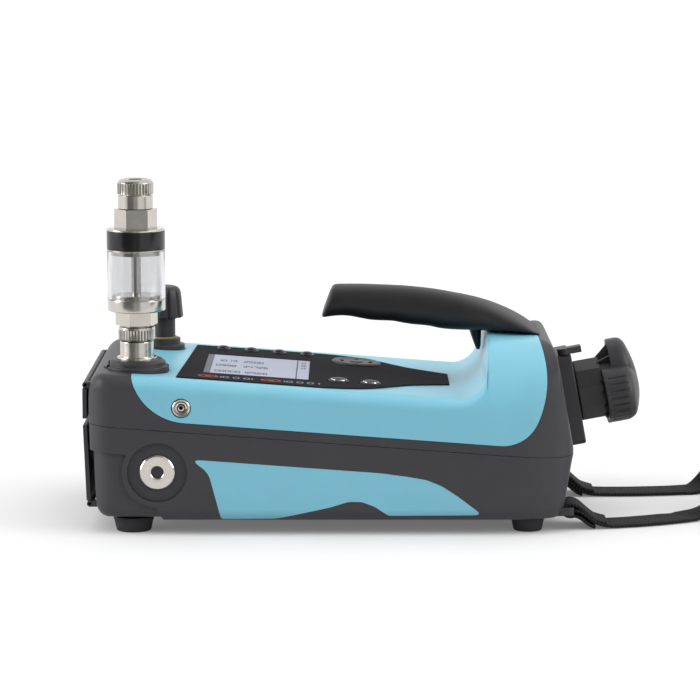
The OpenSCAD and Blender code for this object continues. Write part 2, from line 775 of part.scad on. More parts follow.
// Battery, doors and front sockets
module battery_pack() {
  color([0.2, 0.3, 0.5]) {
    translate([X(pack_u), pack_y, pack_z]) cube([pack_l, pack_w, pack_h / 2]);
    for (k = [0, 1]) translate([X(pack_u + pack_l * (0.25 + 0.5 * k)), pack_y + pack_w, pack_z + pack_h / 2])
      rotate([90, 0, 0]) cylinder(r = pack_h / 2 - pack_gap, h = pack_w);
  }
}
door_drop = 2;
module battery_door() {
  color(dark) on_toe() translate([-door_gap - hinge_r, 0, -door_axis]) leaf(door_axis - door_drop, 1);
}
module hinge_pin() translate([0, door_w / 2, 0]) rotate([90, 0, 0]) cylinder(r = pin_r, h = door_w);
module door_pin() {
  color(steel) on_toe() translate([-door_gap - hinge_r, 0, -door_axis]) hinge_pin();
}
module connector_cover() {
  color(dark) translate([X(-door_gap - hinge_r), 0, lid_axis_z]) leaf(lid_h, -1);
}
module cover_pin() {
  color(steel) translate([X(-door_gap - hinge_r), 0, lid_axis_z]) hinge_pin();
}
socket_step = 19;
socket_r = 2.1;
module socket_strip() {
  color(black) difference() {
    translate([X(door_gap), -strip_w / 2, strip_z]) cube([strip_l, strip_w, strip_h]);
    for (k = [-2:2]) translate([X(-cut), k * socket_step, strip_z + strip_h / 2]) rotate([0, 90, 0])
      cylinder(r = socket_r, h = strip_l - cut / 2);
  }
}

// Feet and case screws
foot_taper = 1.8;
module foot(u, s, r) {
  color(black) translate([X(u), s * foot_y, 0]) cylinder(r1 = r - foot_taper, r2 = r, h = foot_h);
}
module case_screws() {
  color(steel) for (p = case_screw_places) translate([X(p[0]), p[1], foot_h + wall - case_head_h]) {
    cylinder(r = case_head_r, h = case_head_h);
    cylinder(r = case_screw_r, h = split_z(p[0]) + screw_bite - foot_h - wall + case_head_h - cut / 2);
  }
}

// Pressure block, sensor and line
module manifold_block() {
  color([0.3, 0.3, 0.32]) difference() {
    union() {
      translate([X(manifold_u), -manifold_w / 2, manifold_z])
        cube([manifold_l, manifold_w, manifold_top - manifold_z]);
      at_port(manifold_top - cut) cylinder(r = port_column_r, h = port_seat - manifold_top + cut);
      at_valve(manifold_top - cut) cylinder(r = valve_column_r, h = valve_seat - manifold_top + cut);
    }
    at_port(port_seat - stub_depth) cylinder(r = stub_r + pin_gap, h = far);
    at_port(manifold_z + wall) cylinder(r = flow_r, h = far);
    at_valve(valve_seat - stub_depth) cylinder(r = stub_r + pin_gap, h = far);
  }
}
sensor_hex_h = 6;
module pressure_sensor() {
  color(steel) translate([X(manifold_u + manifold_l / 2), 0, manifold_z - sensor_h]) {
    cylinder(r = sensor_r, h = sensor_h - sensor_hex_h + cut);
    translate([0, 0, sensor_h - sensor_hex_h]) cylinder(r = sensor_r + 1.5, h = sensor_hex_h, $fn = 6);
  }
}
line_r = 2;
line_y = 48;
line_drop = 16;
line_in = 8;
elbow_over = 0.6;
module pressure_line() {
  start_u = manifold_u + manifold_l - line_in;
  end_u = rear_u - (plate_t + adj_l) * cos(rear_tilt);
  end_z = rear_z - (plate_t + adj_l) * sin(rear_tilt);
  route = [[X(start_u - 2), line_y - 3, manifold_z - plunger_gap],
    [X(start_u), line_y, manifold_z - line_drop],
    [X(end_u - 1.5 * line_in), line_y, end_z - 6], [X(end_u - line_in), 0, end_z - 2],
    [X(end_u) - door_gap, 0, end_z]];
  color([0.72, 0.45, 0.2]) {
    for (k = [0:len(route) - 2]) beam(route[k], route[k + 1], line_r);
    for (k = [1:len(route) - 2]) translate(route[k]) sphere(r = line_r + elbow_over);
  }
}

// Test port and moisture trap, upwards from the deck
knurls = 36;
knurl_r = 0.6;
knurl_out = 0.25;
module knurled(r, bore, h) {
  difference() {
    cylinder(r = r, h = h);
    translate([0, 0, -cut]) cylinder(r = bore, h = h + 2 * cut);
    for (k = [0:knurls - 1]) rotate(360 * k / knurls) translate([r + knurl_out, 0, -cut])
      cylinder(r = knurl_r, h = h + 2 * cut);
  }
}
module at_port(z) translate([X(port_u), port_y, z]) children();
flange_step = 2;
notch_w = 6;
notch_d = 1;
module port_flange() {
  color(black) at_port(port_seat) difference() {
    union() {
      cylinder(r = flange_r, h = flange_low);
      cylinder(r = flange_r - flange_step, h = flange_low + flange_high);
    }
    translate([0, 0, -cut]) cylinder(r = stub_r + pin_gap, h = far);
    translate([flange_r - notch_d, -notch_w / 2, -cut]) cube([flange_r, notch_w, flange_low + 2 * cut]);
  }
}
nipple_rim_r = 12.4;
nipple_r = 10.3;
spigot_over = 5;
module port_nipple() {
  color(steel) difference() {
    union() {
      at_port(port_seat - stub_depth) cylinder(r = stub_r, h = stub_depth + flange_low + flange_high + cut);
      at_port(nipple_z) cylinder(r = nipple_rim_r, h = nipple_rim);
      at_port(nipple_z + nipple_rim) cylinder(r = nipple_r, h = nipple_h);
      at_port(collar_z - cut) cylinder(r = spigot_r, h = collar_h + spigot_over + cut);
    }
    at_port(port_seat - stub_depth - cut) cylinder(r = flow_r, h = far);
  }
}
module lower_coupling() {
  color(steel) at_port(collar_z + end_gap) knurled(collar_r, spigot_r + run_gap, collar_h - 2 * end_gap);
}
bowl_gap = 0.1;
module hexagon(h, turn) rotate(turn) cylinder(r = hex_af / 2 / cos(30), h = h, $fn = 6);
module trap_base() {
  color(steel) difference() {
    union() {
      at_port(base_hex_z) hexagon(base_hex_h + cut, 15);
      at_port(base_hex_z + base_hex_h) cylinder(r = bowl_r - bowl_gap, h = base_ring_h);
      at_port(bowl_z - cut) cylinder(r = bowl_r - bowl_wall - bowl_gap, h = plug_h + cut);
    }
    at_port(base_hex_z - cut) cylinder(r = spigot_r + pin_gap, h = spigot_over + cut);
    at_port(base_hex_z) cylinder(r = flow_r, h = far);
  }
}
module trap_bowl() {
  color([0.85, 0.9, 0.92, 0.5]) at_port(bowl_z) pipe(bowl_r, bowl_r - bowl_wall, bowl_h);
}
module trap_inner_tube() {
  color(steel) at_port(bowl_z + plug_h) pipe(flow_r + 1, flow_r, bowl_h - 2 * plug_h);
}
outlet_z = head_z + band_len + head_hex_h;
cap_z = outlet_z + outlet_h;
outlet_depth = 6;
band_sink = 0.7;
band_rim = 0.6;
cap_over = 0.3;
module trap_head() {
  color(steel) difference() {
    union() {
      at_port(head_z - plug_h) cylinder(r = bowl_r - bowl_wall - bowl_gap, h = plug_h + cut);
      at_port(head_z) cylinder(r = bowl_r - band_sink, h = band_len);
      at_port(head_z + band_len - cut) hexagon(head_hex_h + cut, 8);
      at_port(outlet_z - cut) cylinder(r = cap_r - cap_over, h = outlet_h + cut);
      at_port(cap_z - cut) cylinder(r = cap_spigot_r, h = cap_h);
    }
    at_port(head_z - plug_h - cut) cylinder(r = flow_r, h = far);
    at_port(cap_z - outlet_depth) cylinder(r = outlet_bore, h = far);
  }
}
module trap_band() {
  color(black) at_port(head_z + band_rim)
    pipe(bowl_r + bowl_gap, bowl_r - band_sink + pin_gap, band_len - 2 * band_rim);
}
module top_coupling() {
  color(steel) at_port(cap_z + end_gap) knurled(cap_r, cap_spigot_r + run_gap, cap_h - end_gap);
}

// Vent valve
module at_valve(z) translate([X(valve_u), valve_y, z]) children();
valve_step = 2.8;
ring_wall = 1.2;
module valve_flange() {
  color(black) at_valve(valve_seat) difference() {
    union() {
      cylinder(r = valve_flange_r, h = valve_flange_h / 2);
      cylinder(r = valve_flange_r - valve_step, h = valve_flange_h);
    }
    translate([0, 0, -cut]) cylinder(r = valve_stem_r + run_gap, h = far);
  }
}
module valve_ring() {
  color([0.8, 0.8, 0.3]) at_valve(valve_seat + valve_flange_h)
    pipe(valve_stem_r + ring_wall, valve_stem_r + run_gap, valve_ring_h);
}
module valve_stem() {
  color(black) {
    at_valve(valve_seat - stub_depth) cylinder(r = stub_r, h = stub_depth + cut);
    at_valve(valve_seat) cylinder(r = valve_stem_r, h = valve_stem_h);
    at_valve(valve_seat + valve_stem_h - cut) cylinder(r = valve_pin_r, h = valve_knob_h - knob_crown - cut);
  }
}
valve_flutes = 10;
flute_r = 1.6;
knob_taper = 1.6;
knob_crown = 3;
module valve_knob() {
  flank = valve_knob_h - knob_crown;
  top_r = valve_knob_r - knob_taper;
  bore = valve_pin_r + run_gap;
  color(black) at_valve(valve_seat + valve_stem_h + end_gap) difference() {
    rotate_extrude() polygon([[0, flank - cut], [bore, flank - cut], [bore, 0], [valve_knob_r, 0],
      [top_r, flank], [top_r - 0.7 * knob_crown, valve_knob_h], [0, valve_knob_h]]);
    for (k = [0:valve_flutes - 1]) rotate(360 * k / valve_flutes)
      translate([valve_knob_r + flute_r / 3, 0, 0])
      rotate([0, -atan(knob_taper / flank), 0]) translate([0, 0, -cut])
        cylinder(r = flute_r, h = valve_knob_h + 3 * cut);
  }
}

// Connections on the near side
side_face_t = 2;
side_bore_end = 14;
side_mouth_end = 1.5;
side_mouth = 1.8;
module side_port() {
  color(steel) difference() {
    union() {
      to_near(side_port_u, side_port_z, side_rim - half_w) cylinder(r = side_port_r, h = side_face_t);
      to_near(side_port_u, side_port_z, side_body_l - half_w) cylinder(r = side_body_r, h = side_body_l - 2);
    }
    to_near(side_port_u, side_port_z, side_bore_end - half_w) cylinder(r = side_bore, h = far);
    to_near(side_port_u, side_port_z, side_mouth_end - half_w) cylinder(r = side_bore + side_mouth, h = far);
  }
}
module dc_jack() {
  color(steel) difference() {
    union() {
      to_near(jack_u, jack_z, jack_rim - half_w) cylinder(r = jack_r, h = jack_rim);
      to_near(jack_u, jack_z, jack_l - half_w) cylinder(r = jack_body_r, h = jack_l - jack_rim / 2);
    }
    to_near(jack_u, jack_z, jack_l - wall - half_w) cylinder(r = jack_bore, h = far);
  }
}

// Rear plate and volume adjuster, along the tilted axis
module turned(x) translate([x, 0, 0]) rotate([0, 90, 0]) children();
plate_r = 6;
lever_place = [-3.5, -18];
lever_pin_r = 2;
lever_r = 4.5;
lever_l = 10.5;
lever_w = 8;
lever_t = 4;
lever_pin_l = 8;
module rear_plate() {
  color(dark) on_rear() difference() {
    translate([-plate_t, 0, 0]) rotate([90, 0, 90]) round_plate(plate_w, plate_h, plate_r, plate_t);
    turned(-plate_t - cut) cylinder(r = screw_r + run_gap, h = plate_t + 2 * cut);
    translate([lever_place[0], lever_place[1], plate_h / 2 - lever_pin_l - cut])
      cylinder(r = lever_pin_r + run_gap, h = plate_h);
  }
}
adj_end_t = 4;
module adjuster_cylinder() {
  color(steel) on_rear() difference() {
    turned(-plate_t - adj_l) cylinder(r = adj_bore + adj_wall, h = adj_l);
    turned(-plate_t - adj_l + adj_end_t) cylinder(r = adj_bore, h = adj_l);
    turned(-plate_t - adj_l - cut) cylinder(r = flow_r, h = adj_end_t + 2 * cut);
  }
}
piston_l = 14;
piston_start = 4;
module adjuster_piston() {
  color([0.6, 0.5, 0.3]) on_rear() turned(-plate_t - piston_start - piston_l)
    pipe(adj_bore - run_gap, screw_r + run_gap, piston_l);
}
screw_spare = 20;
screw_in_knob = 10;
screw_reach = piston_start + piston_l + piston_travel + screw_spare;
module adjuster_screw() {
  color(steel) on_rear() turned(-plate_t - screw_reach)
    cylinder(r = screw_r, h = plate_t + screw_reach + knob_back + screw_in_knob);
}
lobe_turn = 60;
lobe_ribs = 4;
rib_step = 15;
rib_r = 0.8;
shell_t = 3;
drum_turn = 7;
module lobes(r) {
  for (k = [0:2]) rotate(lobe_turn + 120 * k) translate([lobe_off, 0]) circle(r = r);
}
module adjuster_knob() {
  color(black) on_rear() difference() {
    union() {
      turned(drum_gap) rotate(drum_turn) cylinder(r = drum_r, h = drum_l + cut, $fn = 10);
      intersection() {
        turned(knob_back) linear_extrude(knob_d) lobes(lobe_r);
        translate([knob_back + knob_d - knob_dome_r, 0, 0]) sphere(r = knob_dome_r);
      }
    }
    turned(-cut) cylinder(r = screw_r + pin_gap, h = knob_back + screw_in_knob + 2 * cut);
    turned(knob_back - cut) linear_extrude(knob_d - shell_t - cut) difference() {
      lobes(lobe_r - shell_t);
      circle(r = drum_r - lobe_round);
    }
    for (k = [0:2]) turned(knob_back - cut) rotate(lobe_turn + 120 * k) translate([lobe_off, 0, 0])
      for (j = [-lobe_ribs:lobe_ribs]) rotate(j * rib_step) translate([lobe_r + knurl_out, 0, 0])
        cylinder(r = rib_r, h = knob_d + 2 * cut);
  }
}
module selector_lever() {
  color(black) on_rear() translate([lever_place[0], lever_place[1], plate_h / 2 + ear_gap]) {
    cylinder(r = lever_r, h = lever_t);
    translate([0, -lever_w / 2, 0]) cube([lever_l, lever_w, lever_t]);
    translate([0, 0, -lever_pin_l - ear_gap]) cylinder(r = lever_pin_r, h = lever_pin_l + cut);
  }
}

// Carrying strap: flat webbing swept along points [x, y, z, roll], its spare length folded into a hank
strap_exit = X(body_l) + column_gap;
hank_rise = 1.8;
hank_z = strap_w / 2 + hank_rise;
hank_x0 = 252;
hank_x1 = 392;
hank_y0 = 14;
hank_pitch = 10;
hank_runs = 6;
lug_mid = lug_z + lug_t / 2;
near_route = [[strap_exit, -lug_y, lug_mid, 0], [132.5, -54, 11.4, 0], [136.5, -53.6, 8, 0],
  [141.5, -52.8, 4, 0], [148, -51.4, 1.9, 0], [158, -49, 1.4, 0], [174, -44, 1.4, 0], [190, -37, 1.4, 0],
  [203, -30, 1.6, 0], [212, -23.5, 5.2, 18], [221, -15, 10.4, 46], [232, -3, 13.8, 74],
  [hank_x0 - 8, 10, hank_z, 90], [hank_x0, hank_y0, hank_z, 90]];
far_route = [[strap_exit, lug_y, lug_mid, 0], [132.5, 54, 11.4, 0], [136.5, 54, 8, 0], [141.5, 54, 4, 0],
  [148, 54, 1.9, 0], [158, 53.8, 1.4, 0], [174, 54, 1.4, 0], [190, 55.5, 1.4, 0], [205, 58, 1.4, 0],
  [217, 61, 1.6, 0], [227, 63.4, 5.8, -20], [234, 64.4, 11, -50], [241, 64.6, 14, -78],
  [hank_x0 - 5, 64.4, hank_z, -90], [hank_x0, run_y(hank_runs - 1), hank_z, -90]];
fold_steps = 8;
run_steps = 6;
hank_in = hank_x0 + 12;
function run_y(k) = hank_y0 + k * hank_pitch;
function fold_turn(x, k, side) = [for (j = [0:fold_steps]) let (t = -90 + 180 * j / fold_steps)
  [x + side * hank_pitch / 2 * cos(t), run_y(k + 0.5) + hank_pitch / 2 * sin(t), hank_z, side * 90]];
function run_points(xa, xb, y, roll) =
  [for (j = [1:run_steps - 1]) [xa + (xb - xa) * j / run_steps, y, hank_z, roll]];
function run_start(k) = k == 0 ? hank_x0 : k % 2 == 1 ? hank_x1 : hank_in;
function run_end(k) = k == hank_runs - 1 ? hank_x0 : k % 2 == 0 ? hank_x1 : hank_in;
hank_route = concat([[hank_x0, run_y(0), hank_z, 90]],
  [for (k = [0:hank_runs - 1]) let (side = k % 2 == 0 ? 1 : -1)
    each concat(run_points(run_start(k), run_end(k), run_y(k), 90 * side),
      k == hank_runs - 1 ? [[hank_x0, run_y(k), hank_z, -90]] : fold_turn(run_end(k), k, side))]);
function unit(v) = v / norm(v);
function spot(p) = [p[0], p[1], p[2]];
function heading(path, i) = unit(spot(path[min(i + 1, len(path) - 1)]) - spot(path[max(i - 1, 0)]));
function webbing_ring(path, i) = let (t = heading(path, i), h = unit(cross(t, [0, 0, 1])), v = cross(h, t),
  a = abs(path[i][3]), w = cos(a) * h + sin(a) * v, n = cross(w, t))
  [for (c = [[1, 1], [-1, 1], [-1, -1], [1, -1]])
    spot(path[i]) + c[0] * strap_w / 2 * w + c[1] * strap_t / 2 * n];
module webbing(path) color(black) loft([for (i = [0:len(path) - 1]) webbing_ring(path, i)]);
tie_t = 1.2;
tie_w = 14;
tie_gap = 0.4;
tie_x = (hank_x0 + hank_x1) / 2;
module strap_tie() {
  inner_w = (hank_runs - 1) * hank_pitch + strap_t + 2 * tie_gap;
  inner_h = strap_w + 2 * tie_gap;
  color(dark) translate([tie_x - tie_w / 2, hank_y0 - strap_t / 2 - tie_gap, hank_z - strap_w / 2 - tie_gap])
    difference() {
      translate([0, -tie_t, -tie_t]) cube([tie_w, inner_w + 2 * tie_t, inner_h + 2 * tie_t]);
      translate([-cut, 0, 0]) cube([tie_w + 2 * cut, inner_w, inner_h]);
    }
}
least_gap = min([for (i = [0:len(hank_route) - 1], j = [i + fold_steps:1:len(hank_route) - 1])
  norm(spot(hank_route[i]) - spot(hank_route[j])) - strap_t]);
echo(least_gap_between_folds = least_gap);

upper_cover();
hump_cover();
upper_frame();
lower_case();
side_panel(-1);  // side_panel_near
side_panel(1);  // side_panel_far
handle();
handle_bracket();
handle_screws();
membrane_panel();
lcd_glass();
lcd_module();
key(soft_keys[0]);  // soft_key_1
key(soft_keys[1]);  // soft_key_2
key(soft_keys[2]);  // soft_key_3
key(soft_keys[3]);  // soft_key_4
key(nav_place);  // nav_pad
key(round_keys[0]);  // key_left
key(round_keys[1]);  // key_right
main_board();
board_screws();
battery_pack();
battery_door();
door_pin();
connector_cover();
cover_pin();
socket_strip();
foot(foot_front_u, -1, foot_front_r);  // foot_front_near
foot(foot_front_u, 1, foot_front_r);  // foot_front_far
foot(foot_rear_u, -1, foot_rear_r);  // foot_rear_near
foot(foot_rear_u, 1, foot_rear_r);  // foot_rear_far
case_screws();
manifold_block();
pressure_sensor();
pressure_line();
port_flange();
port_nipple();
lower_coupling();
trap_base();
trap_bowl();
trap_inner_tube();
trap_head();
trap_band();
top_coupling();
valve_flange();
valve_ring();
valve_stem();
valve_knob();
side_port();
dc_jack();
rear_plate();
adjuster_cylinder();
adjuster_piston();
adjuster_screw();
adjuster_knob();
selector_lever();
webbing(near_route);  // strap_near
webbing(hank_route);  // strap_hank
webbing(far_route);  // strap_far
strap_tie();
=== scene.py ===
"""A portable pressure calibrator: casing, handle, moisture trap, valve, keys, rear adjuster and strap.

Shapes are written in millimetres and placed by the matrices below, which turn them to metres.
u is the distance behind the front face, y runs across and z is the height above the floor.
"""
import json
from math import atan2, copysign, cos, degrees, pi, radians, sin, sqrt, tan

import bmesh
import bpy
from mathutils import Matrix, Vector


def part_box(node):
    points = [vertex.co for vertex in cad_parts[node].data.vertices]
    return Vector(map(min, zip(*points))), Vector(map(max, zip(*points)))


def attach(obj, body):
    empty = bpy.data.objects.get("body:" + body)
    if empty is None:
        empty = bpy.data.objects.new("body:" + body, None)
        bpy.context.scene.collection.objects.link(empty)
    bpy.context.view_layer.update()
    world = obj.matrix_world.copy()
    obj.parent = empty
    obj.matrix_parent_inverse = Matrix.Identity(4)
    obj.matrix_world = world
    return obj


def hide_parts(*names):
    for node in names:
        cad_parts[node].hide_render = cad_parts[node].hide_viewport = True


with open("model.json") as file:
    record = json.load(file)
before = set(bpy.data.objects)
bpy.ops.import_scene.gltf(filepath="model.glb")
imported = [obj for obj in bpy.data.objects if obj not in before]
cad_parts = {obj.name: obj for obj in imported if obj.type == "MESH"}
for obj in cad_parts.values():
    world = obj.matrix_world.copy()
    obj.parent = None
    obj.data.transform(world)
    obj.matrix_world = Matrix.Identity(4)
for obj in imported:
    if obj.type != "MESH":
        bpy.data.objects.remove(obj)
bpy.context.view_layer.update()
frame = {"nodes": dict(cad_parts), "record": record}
scene = bpy.context.scene

# Frames shared with the solids
MM = 0.001
BODY_L = 300
HALF_W = 85
FOOT_H = 9
BASE_R = 8
SPLIT_H = 69
DECK_H = 32
SLOPE = radians(4.2)
HUMP_U = 245
HUMP_H = 117
REAR_TILT = radians(10.5)
REAR_U = BODY_L + 5.4
REAR_Z = 77
MANIFOLD_U = 10
X_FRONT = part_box("manifold_block")[0][0] / MM - MANIFOLD_U
SCALE = Matrix.Scale(MM, 4)
BODY_SPACE = Matrix.Translation((X_FRONT * MM, 0, 0)) @ SCALE
DECK_SPACE = Matrix.Translation((X_FRONT * MM, 0, SPLIT_H * MM)) @ Matrix.Rotation(SLOPE, 4, "Y") @ SCALE
REAR_SPACE = (Matrix.Translation(((X_FRONT + REAR_U) * MM, 0, REAR_Z * MM))
              @ Matrix.Rotation(-REAR_TILT, 4, "Y") @ SCALE)
ROW_SPACE = SCALE


def smoothstep(a, b, x):
    """0 below a, 1 above b, and a smooth rise between."""
    t = min(max((x - a) / (b - a), 0), 1)
    return t * t * (3 - 2 * t)


def turns(n):
    """n angles, evenly round a circle."""
    return [2 * pi * k / n for k in range(n)]


def spun(angle, axis="Z"):
    """A turn about an axis."""
    return Matrix.Rotation(angle, 4, axis)


def arc(centre, r, a0, a1, n):
    """n + 1 points of an arc, from angle a0 to a1 in degrees."""
    angles = [radians(a0 + (a1 - a0) * k / n) for k in range(n + 1)]
    return [(centre[0] + r * cos(t), centre[1] + r * sin(t)) for t in angles]


def rounded(points, steps=4, closed=False):
    """A polyline of (x, y) or (x, y, radius) whose corners are rounded by their radius."""
    out = []
    last = len(points) - 1
    for k, p in enumerate(points):
        radius = p[2] if len(p) > 2 else 0
        corner = Vector(p[:2])
        if not radius or (not closed and k in (0, last)):
            out.append(corner)
            continue
        back = Vector(points[k - 1][:2]) - corner
        on = Vector(points[(k + 1) % len(points)][:2]) - corner
        half = back.angle(on) / 2
        reach = min(radius / tan(half), 0.49 * back.length, 0.49 * on.length)
        start = corner + back.normalized() * reach
        end = corner + on.normalized() * reach
        for j in range(steps + 1):
            t = j / steps
            out.append(start * (1 - t) ** 2 + corner * 2 * t * (1 - t) + end * t * t)
    return out


def round_rect(w, h, r, n=8):
    """Outline of a rectangle with round corners, about its middle."""
    a, b = w / 2 - r, h / 2 - r
    return (arc((a, b), r, 0, 90, n) + arc((-a, b), r, 90, 180, n) + arc((-a, -b), r, 180, 270, n)
            + arc((a, -b), r, 270, 360, n))


# Meshes
def lofted(rings, closed=False):
    """Points and faces of a skin over rings that all have the same number of points."""
    n = len(rings[0])
    m = len(rings)
    verts = [p for ring in rings for p in ring]
    faces = []
    for i in range(m if closed else m - 1):
        j = (i + 1) % m
        for k in range(n):
            faces.append((i * n + k, i * n + (k + 1) % n, j * n + (k + 1) % n, j * n + k))
    if not closed:
        faces.append(tuple(reversed(range(n))))
        faces.append(tuple(range((m - 1) * n, m * n)))
    return verts, faces


def turned(profile, n=64, shape=None, closed=False):
    """A body turned about z from a profile of (r, z); shape(angle, r, z) may change each radius."""
    rings = []
    for r, z in profile:
        radii = [(shape(t, r, z) if shape else r, t) for t in turns(n)]
        rings.append([(reach * cos(t), reach * sin(t), z) for reach, t in radii])
    return lofted(rings, closed)


def prism(outline, low, high, axis="z"):
    """An outline in the plane across an axis, drawn out along it from low to high."""
    def put(p, h):
        return (p[0], h, p[1]) if axis == "y" else (p[0], p[1], h) if axis == "z" else (h, p[0], p[1])
    return lofted([[put(p, low) for p in outline], [put(p, high) for p in outline]])


def hollow(outer, inner, low, high):
    """A ring between two outlines that have the same number of points."""
    levels = ((outer, low), (outer, high), (inner, high), (inner, low))
    return lofted([[(*p, z) for p in line] for line, z in levels], closed=True)


def box(low, high):
    """A plain block between two corners, for cutting."""
    (x0, y0, z0), (x1, y1, z1) = low, high
    return prism([(x0, y0), (x1, y0), (x1, y1), (x0, y1)], z0, z1)


def joined(*parts):
    """Several (points, faces) as one."""
    verts, faces = [], []
    for v, f in parts:
        base = len(verts)
        verts += v
        faces += [tuple(base + i for i in face) for face in f]
    return verts, faces


def placed(shape, matrix):
    """The same points and faces, moved by a matrix."""
    return [tuple(matrix @ Vector(v)) for v in shape[0]], shape[1]


def mesh_object(name, shape, space=BODY_SPACE):
    """A new object of these points and faces, with its normals pointing out."""
    mesh = bpy.data.meshes.new(name)
    mesh.from_pydata([space @ Vector(v) for v in shape[0]], [], shape[1])
    work = bmesh.new()
    work.from_mesh(mesh)
    bmesh.ops.remove_doubles(work, verts=work.verts, dist=1e-7)
    bmesh.ops.recalc_face_normals(work, faces=work.faces)
    work.to_mesh(mesh)
    work.free()
    obj = bpy.data.objects.new(name, mesh)
    scene.collection.objects.link(obj)
    return obj


def carve(target, cutter, how="DIFFERENCE", space=BODY_SPACE):
    """Cuts target by points and faces in millimetres, or by another object, which stays as it is."""
    is_shape = isinstance(cutter, tuple)
    tool = mesh_object("cutter", cutter, space) if is_shape else cutter
    cut = target.modifiers.new("cut", "BOOLEAN")
    cut.object = tool
    cut.operation = how
    cut.solver = "EXACT"
    graph = bpy.context.evaluated_depsgraph_get()
    mesh = bpy.data.meshes.new_from_object(target.evaluated_get(graph))
    target.modifiers.clear()
    old = target.data
    target.data = mesh
    bpy.data.meshes.remove(old)
    if is_shape:
        drop(tool)


def twin(obj, name):
    """A separate copy of an object."""
    other = bpy.data.objects.new(name, obj.data.copy())
    scene.collection.objects.link(other)
    return other


def drop(*objects):
    """Removes helper objects."""
    for obj in objects:
        bpy.data.meshes.remove(obj.data)


def dress(obj, material, slot, body="casing", nodes=(), smooth=35, bevel=0.0):
    """Gives a piece its material, its soft edges, and the body that it rides on."""
    obj.data.materials.clear()
    obj.data.materials.append(material)
    obj.data.shade_smooth()
    obj.data.set_sharp_from_angle(angle=radians(smooth))
    if bevel:
        edge = obj.modifiers.new("edges", "BEVEL")
        edge.width = bevel * MM
        edge.segments = 2
        edge.limit_method = "ANGLE"
        edge.angle_limit = radians(smooth)
        edge.use_clamp_overlap = True
        edge.harden_normals = True
    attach(obj, body)
    if nodes:
        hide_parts(*nodes)
    return obj


def piece(name, shape, material, slot, nodes=(), body="casing", space=BODY_SPACE, smooth=35, bevel=0.0):
    """A finished piece from points and faces in millimetres."""
    return dress(mesh_object(name, shape, space), material, slot, body, nodes, smooth, bevel)


def eased(node, name, material, edge, body="casing"):
    """A copy of a node's solid with softened edges, which stands for the node."""
    mesh = frame["nodes"][node].data
    shape = ([v.co / MM for v in mesh.vertices], [tuple(f.vertices) for f in mesh.polygons])
    slots = {part["node"]: part["material_slot"] for part in frame["record"]["subparts"]}
    return piece(name, shape, material, slots[node], (node,), body, ROW_SPACE, bevel=edge)


# Materials
WAVE_LENGTH = 0.314
TURNING_PITCH = 0.5
TURNING_DEPTH = 0.0015
TWILL_PITCH = 2.1
TWILL_DEPTH = 0.25
TWILL_SLANT = radians(24)


def srgb(r, g, b):
    """A picture colour, 0 to 255, as the shader's linear colour."""
    def line(c):
        c /= 255
        return c / 12.92 if c <= 0.04045 else ((c + 0.055) / 1.055) ** 2.4
    return (line(r), line(g), line(b), 1.0)


def wire(node, **values):
    """Sets a shader node's inputs, each to a value or to another node's output."""
    for name, value in values.items():
        socket = node.inputs[name.replace("_", " ")]
        if isinstance(value, bpy.types.NodeSocket):
            node.id_data.links.new(value, socket)
        else:
            socket.default_value = value
    return node


def add(tree, kind, **values):
    """A new shader node with its inputs set."""
    return wire(tree.nodes.new("ShaderNode" + kind), **values)


def tinted(tree, level, colour, *stops):
    """A colour that follows a level; each stop is a place and the factor of the colour there."""
    ramp = add(tree, "ValToRGB", Fac=level)
    for element, (place, factor) in zip(ramp.color_ramp.elements, stops):
        element.position = place
        element.color = [min(c * factor, 1) for c in srgb(*colour)[:3]] + [1]
    return ramp.outputs["Color"]


def bumped(tree, height, depth):
    """Raises a surface by a height pattern, to a depth in millimetres."""
    bump = add(tree, "Bump", Strength=1.0, Distance=depth * MM, Height=height)
    wire(tree.nodes["Principled BSDF"], Normal=bump.outputs["Normal"])


def bands(tree, direction, pitch, **values):
    """Waves along a direction, at a pitch."""
    wave = add(tree, "TexWave", Scale=WAVE_LENGTH / pitch, **values)
    wave.wave_type = "BANDS"
    wave.bands_direction = direction
    return wave.outputs["Fac"]


def finish(name, colour, rough, grain=0.6, depth=0.02, mottle=0.06, patch=18.0, spread=0.08, shine=0.5,
           **sockets):
    """A moulded or machined surface: fine grain in its bump, and slow change in its colour and gloss.

    grain and patch are sizes in millimetres, depth is the height of the grain in millimetres.
    """
    mat = bpy.data.materials.new(name)
    mat.use_nodes = True
    tree = mat.node_tree
    place = add(tree, "TexCoord").outputs["Object"]
    slow = add(tree, "TexNoise", Scale=1 / (patch * MM), Detail=4, Vector=place).outputs["Fac"]
    tone = tinted(tree, slow, colour, (0.3, 1 - mottle), (0.7, 1 + mottle))
    gloss = add(tree, "MapRange", To_Min=max(rough - spread / 2, 0.02), To_Max=rough + spread / 2, Value=slow)
    wire(tree.nodes["Principled BSDF"], Base_Color=tone, Roughness=gloss.outputs["Result"],
         Specular_IOR_Level=shine, **sockets)
    if depth:
        fine = add(tree, "TexNoise", Scale=1 / (grain * MM), Detail=2, Vector=place)
        bumped(tree, fine.outputs["Fac"], depth)
    return mat


def turned_metal(name, colour, rough):
    """Machined metal with fine turning marks round the z axis."""
    mat = finish(name, colour, rough, depth=0.0, mottle=0.05, patch=9, spread=0.1, Metallic=1.0)
    tree = mat.node_tree
    place = add(tree, "TexCoord").outputs["Object"]
    bumped(tree, bands(tree, "Z", TURNING_PITCH * MM, Distortion=0.6, Vector=place), TURNING_DEPTH)
    return mat


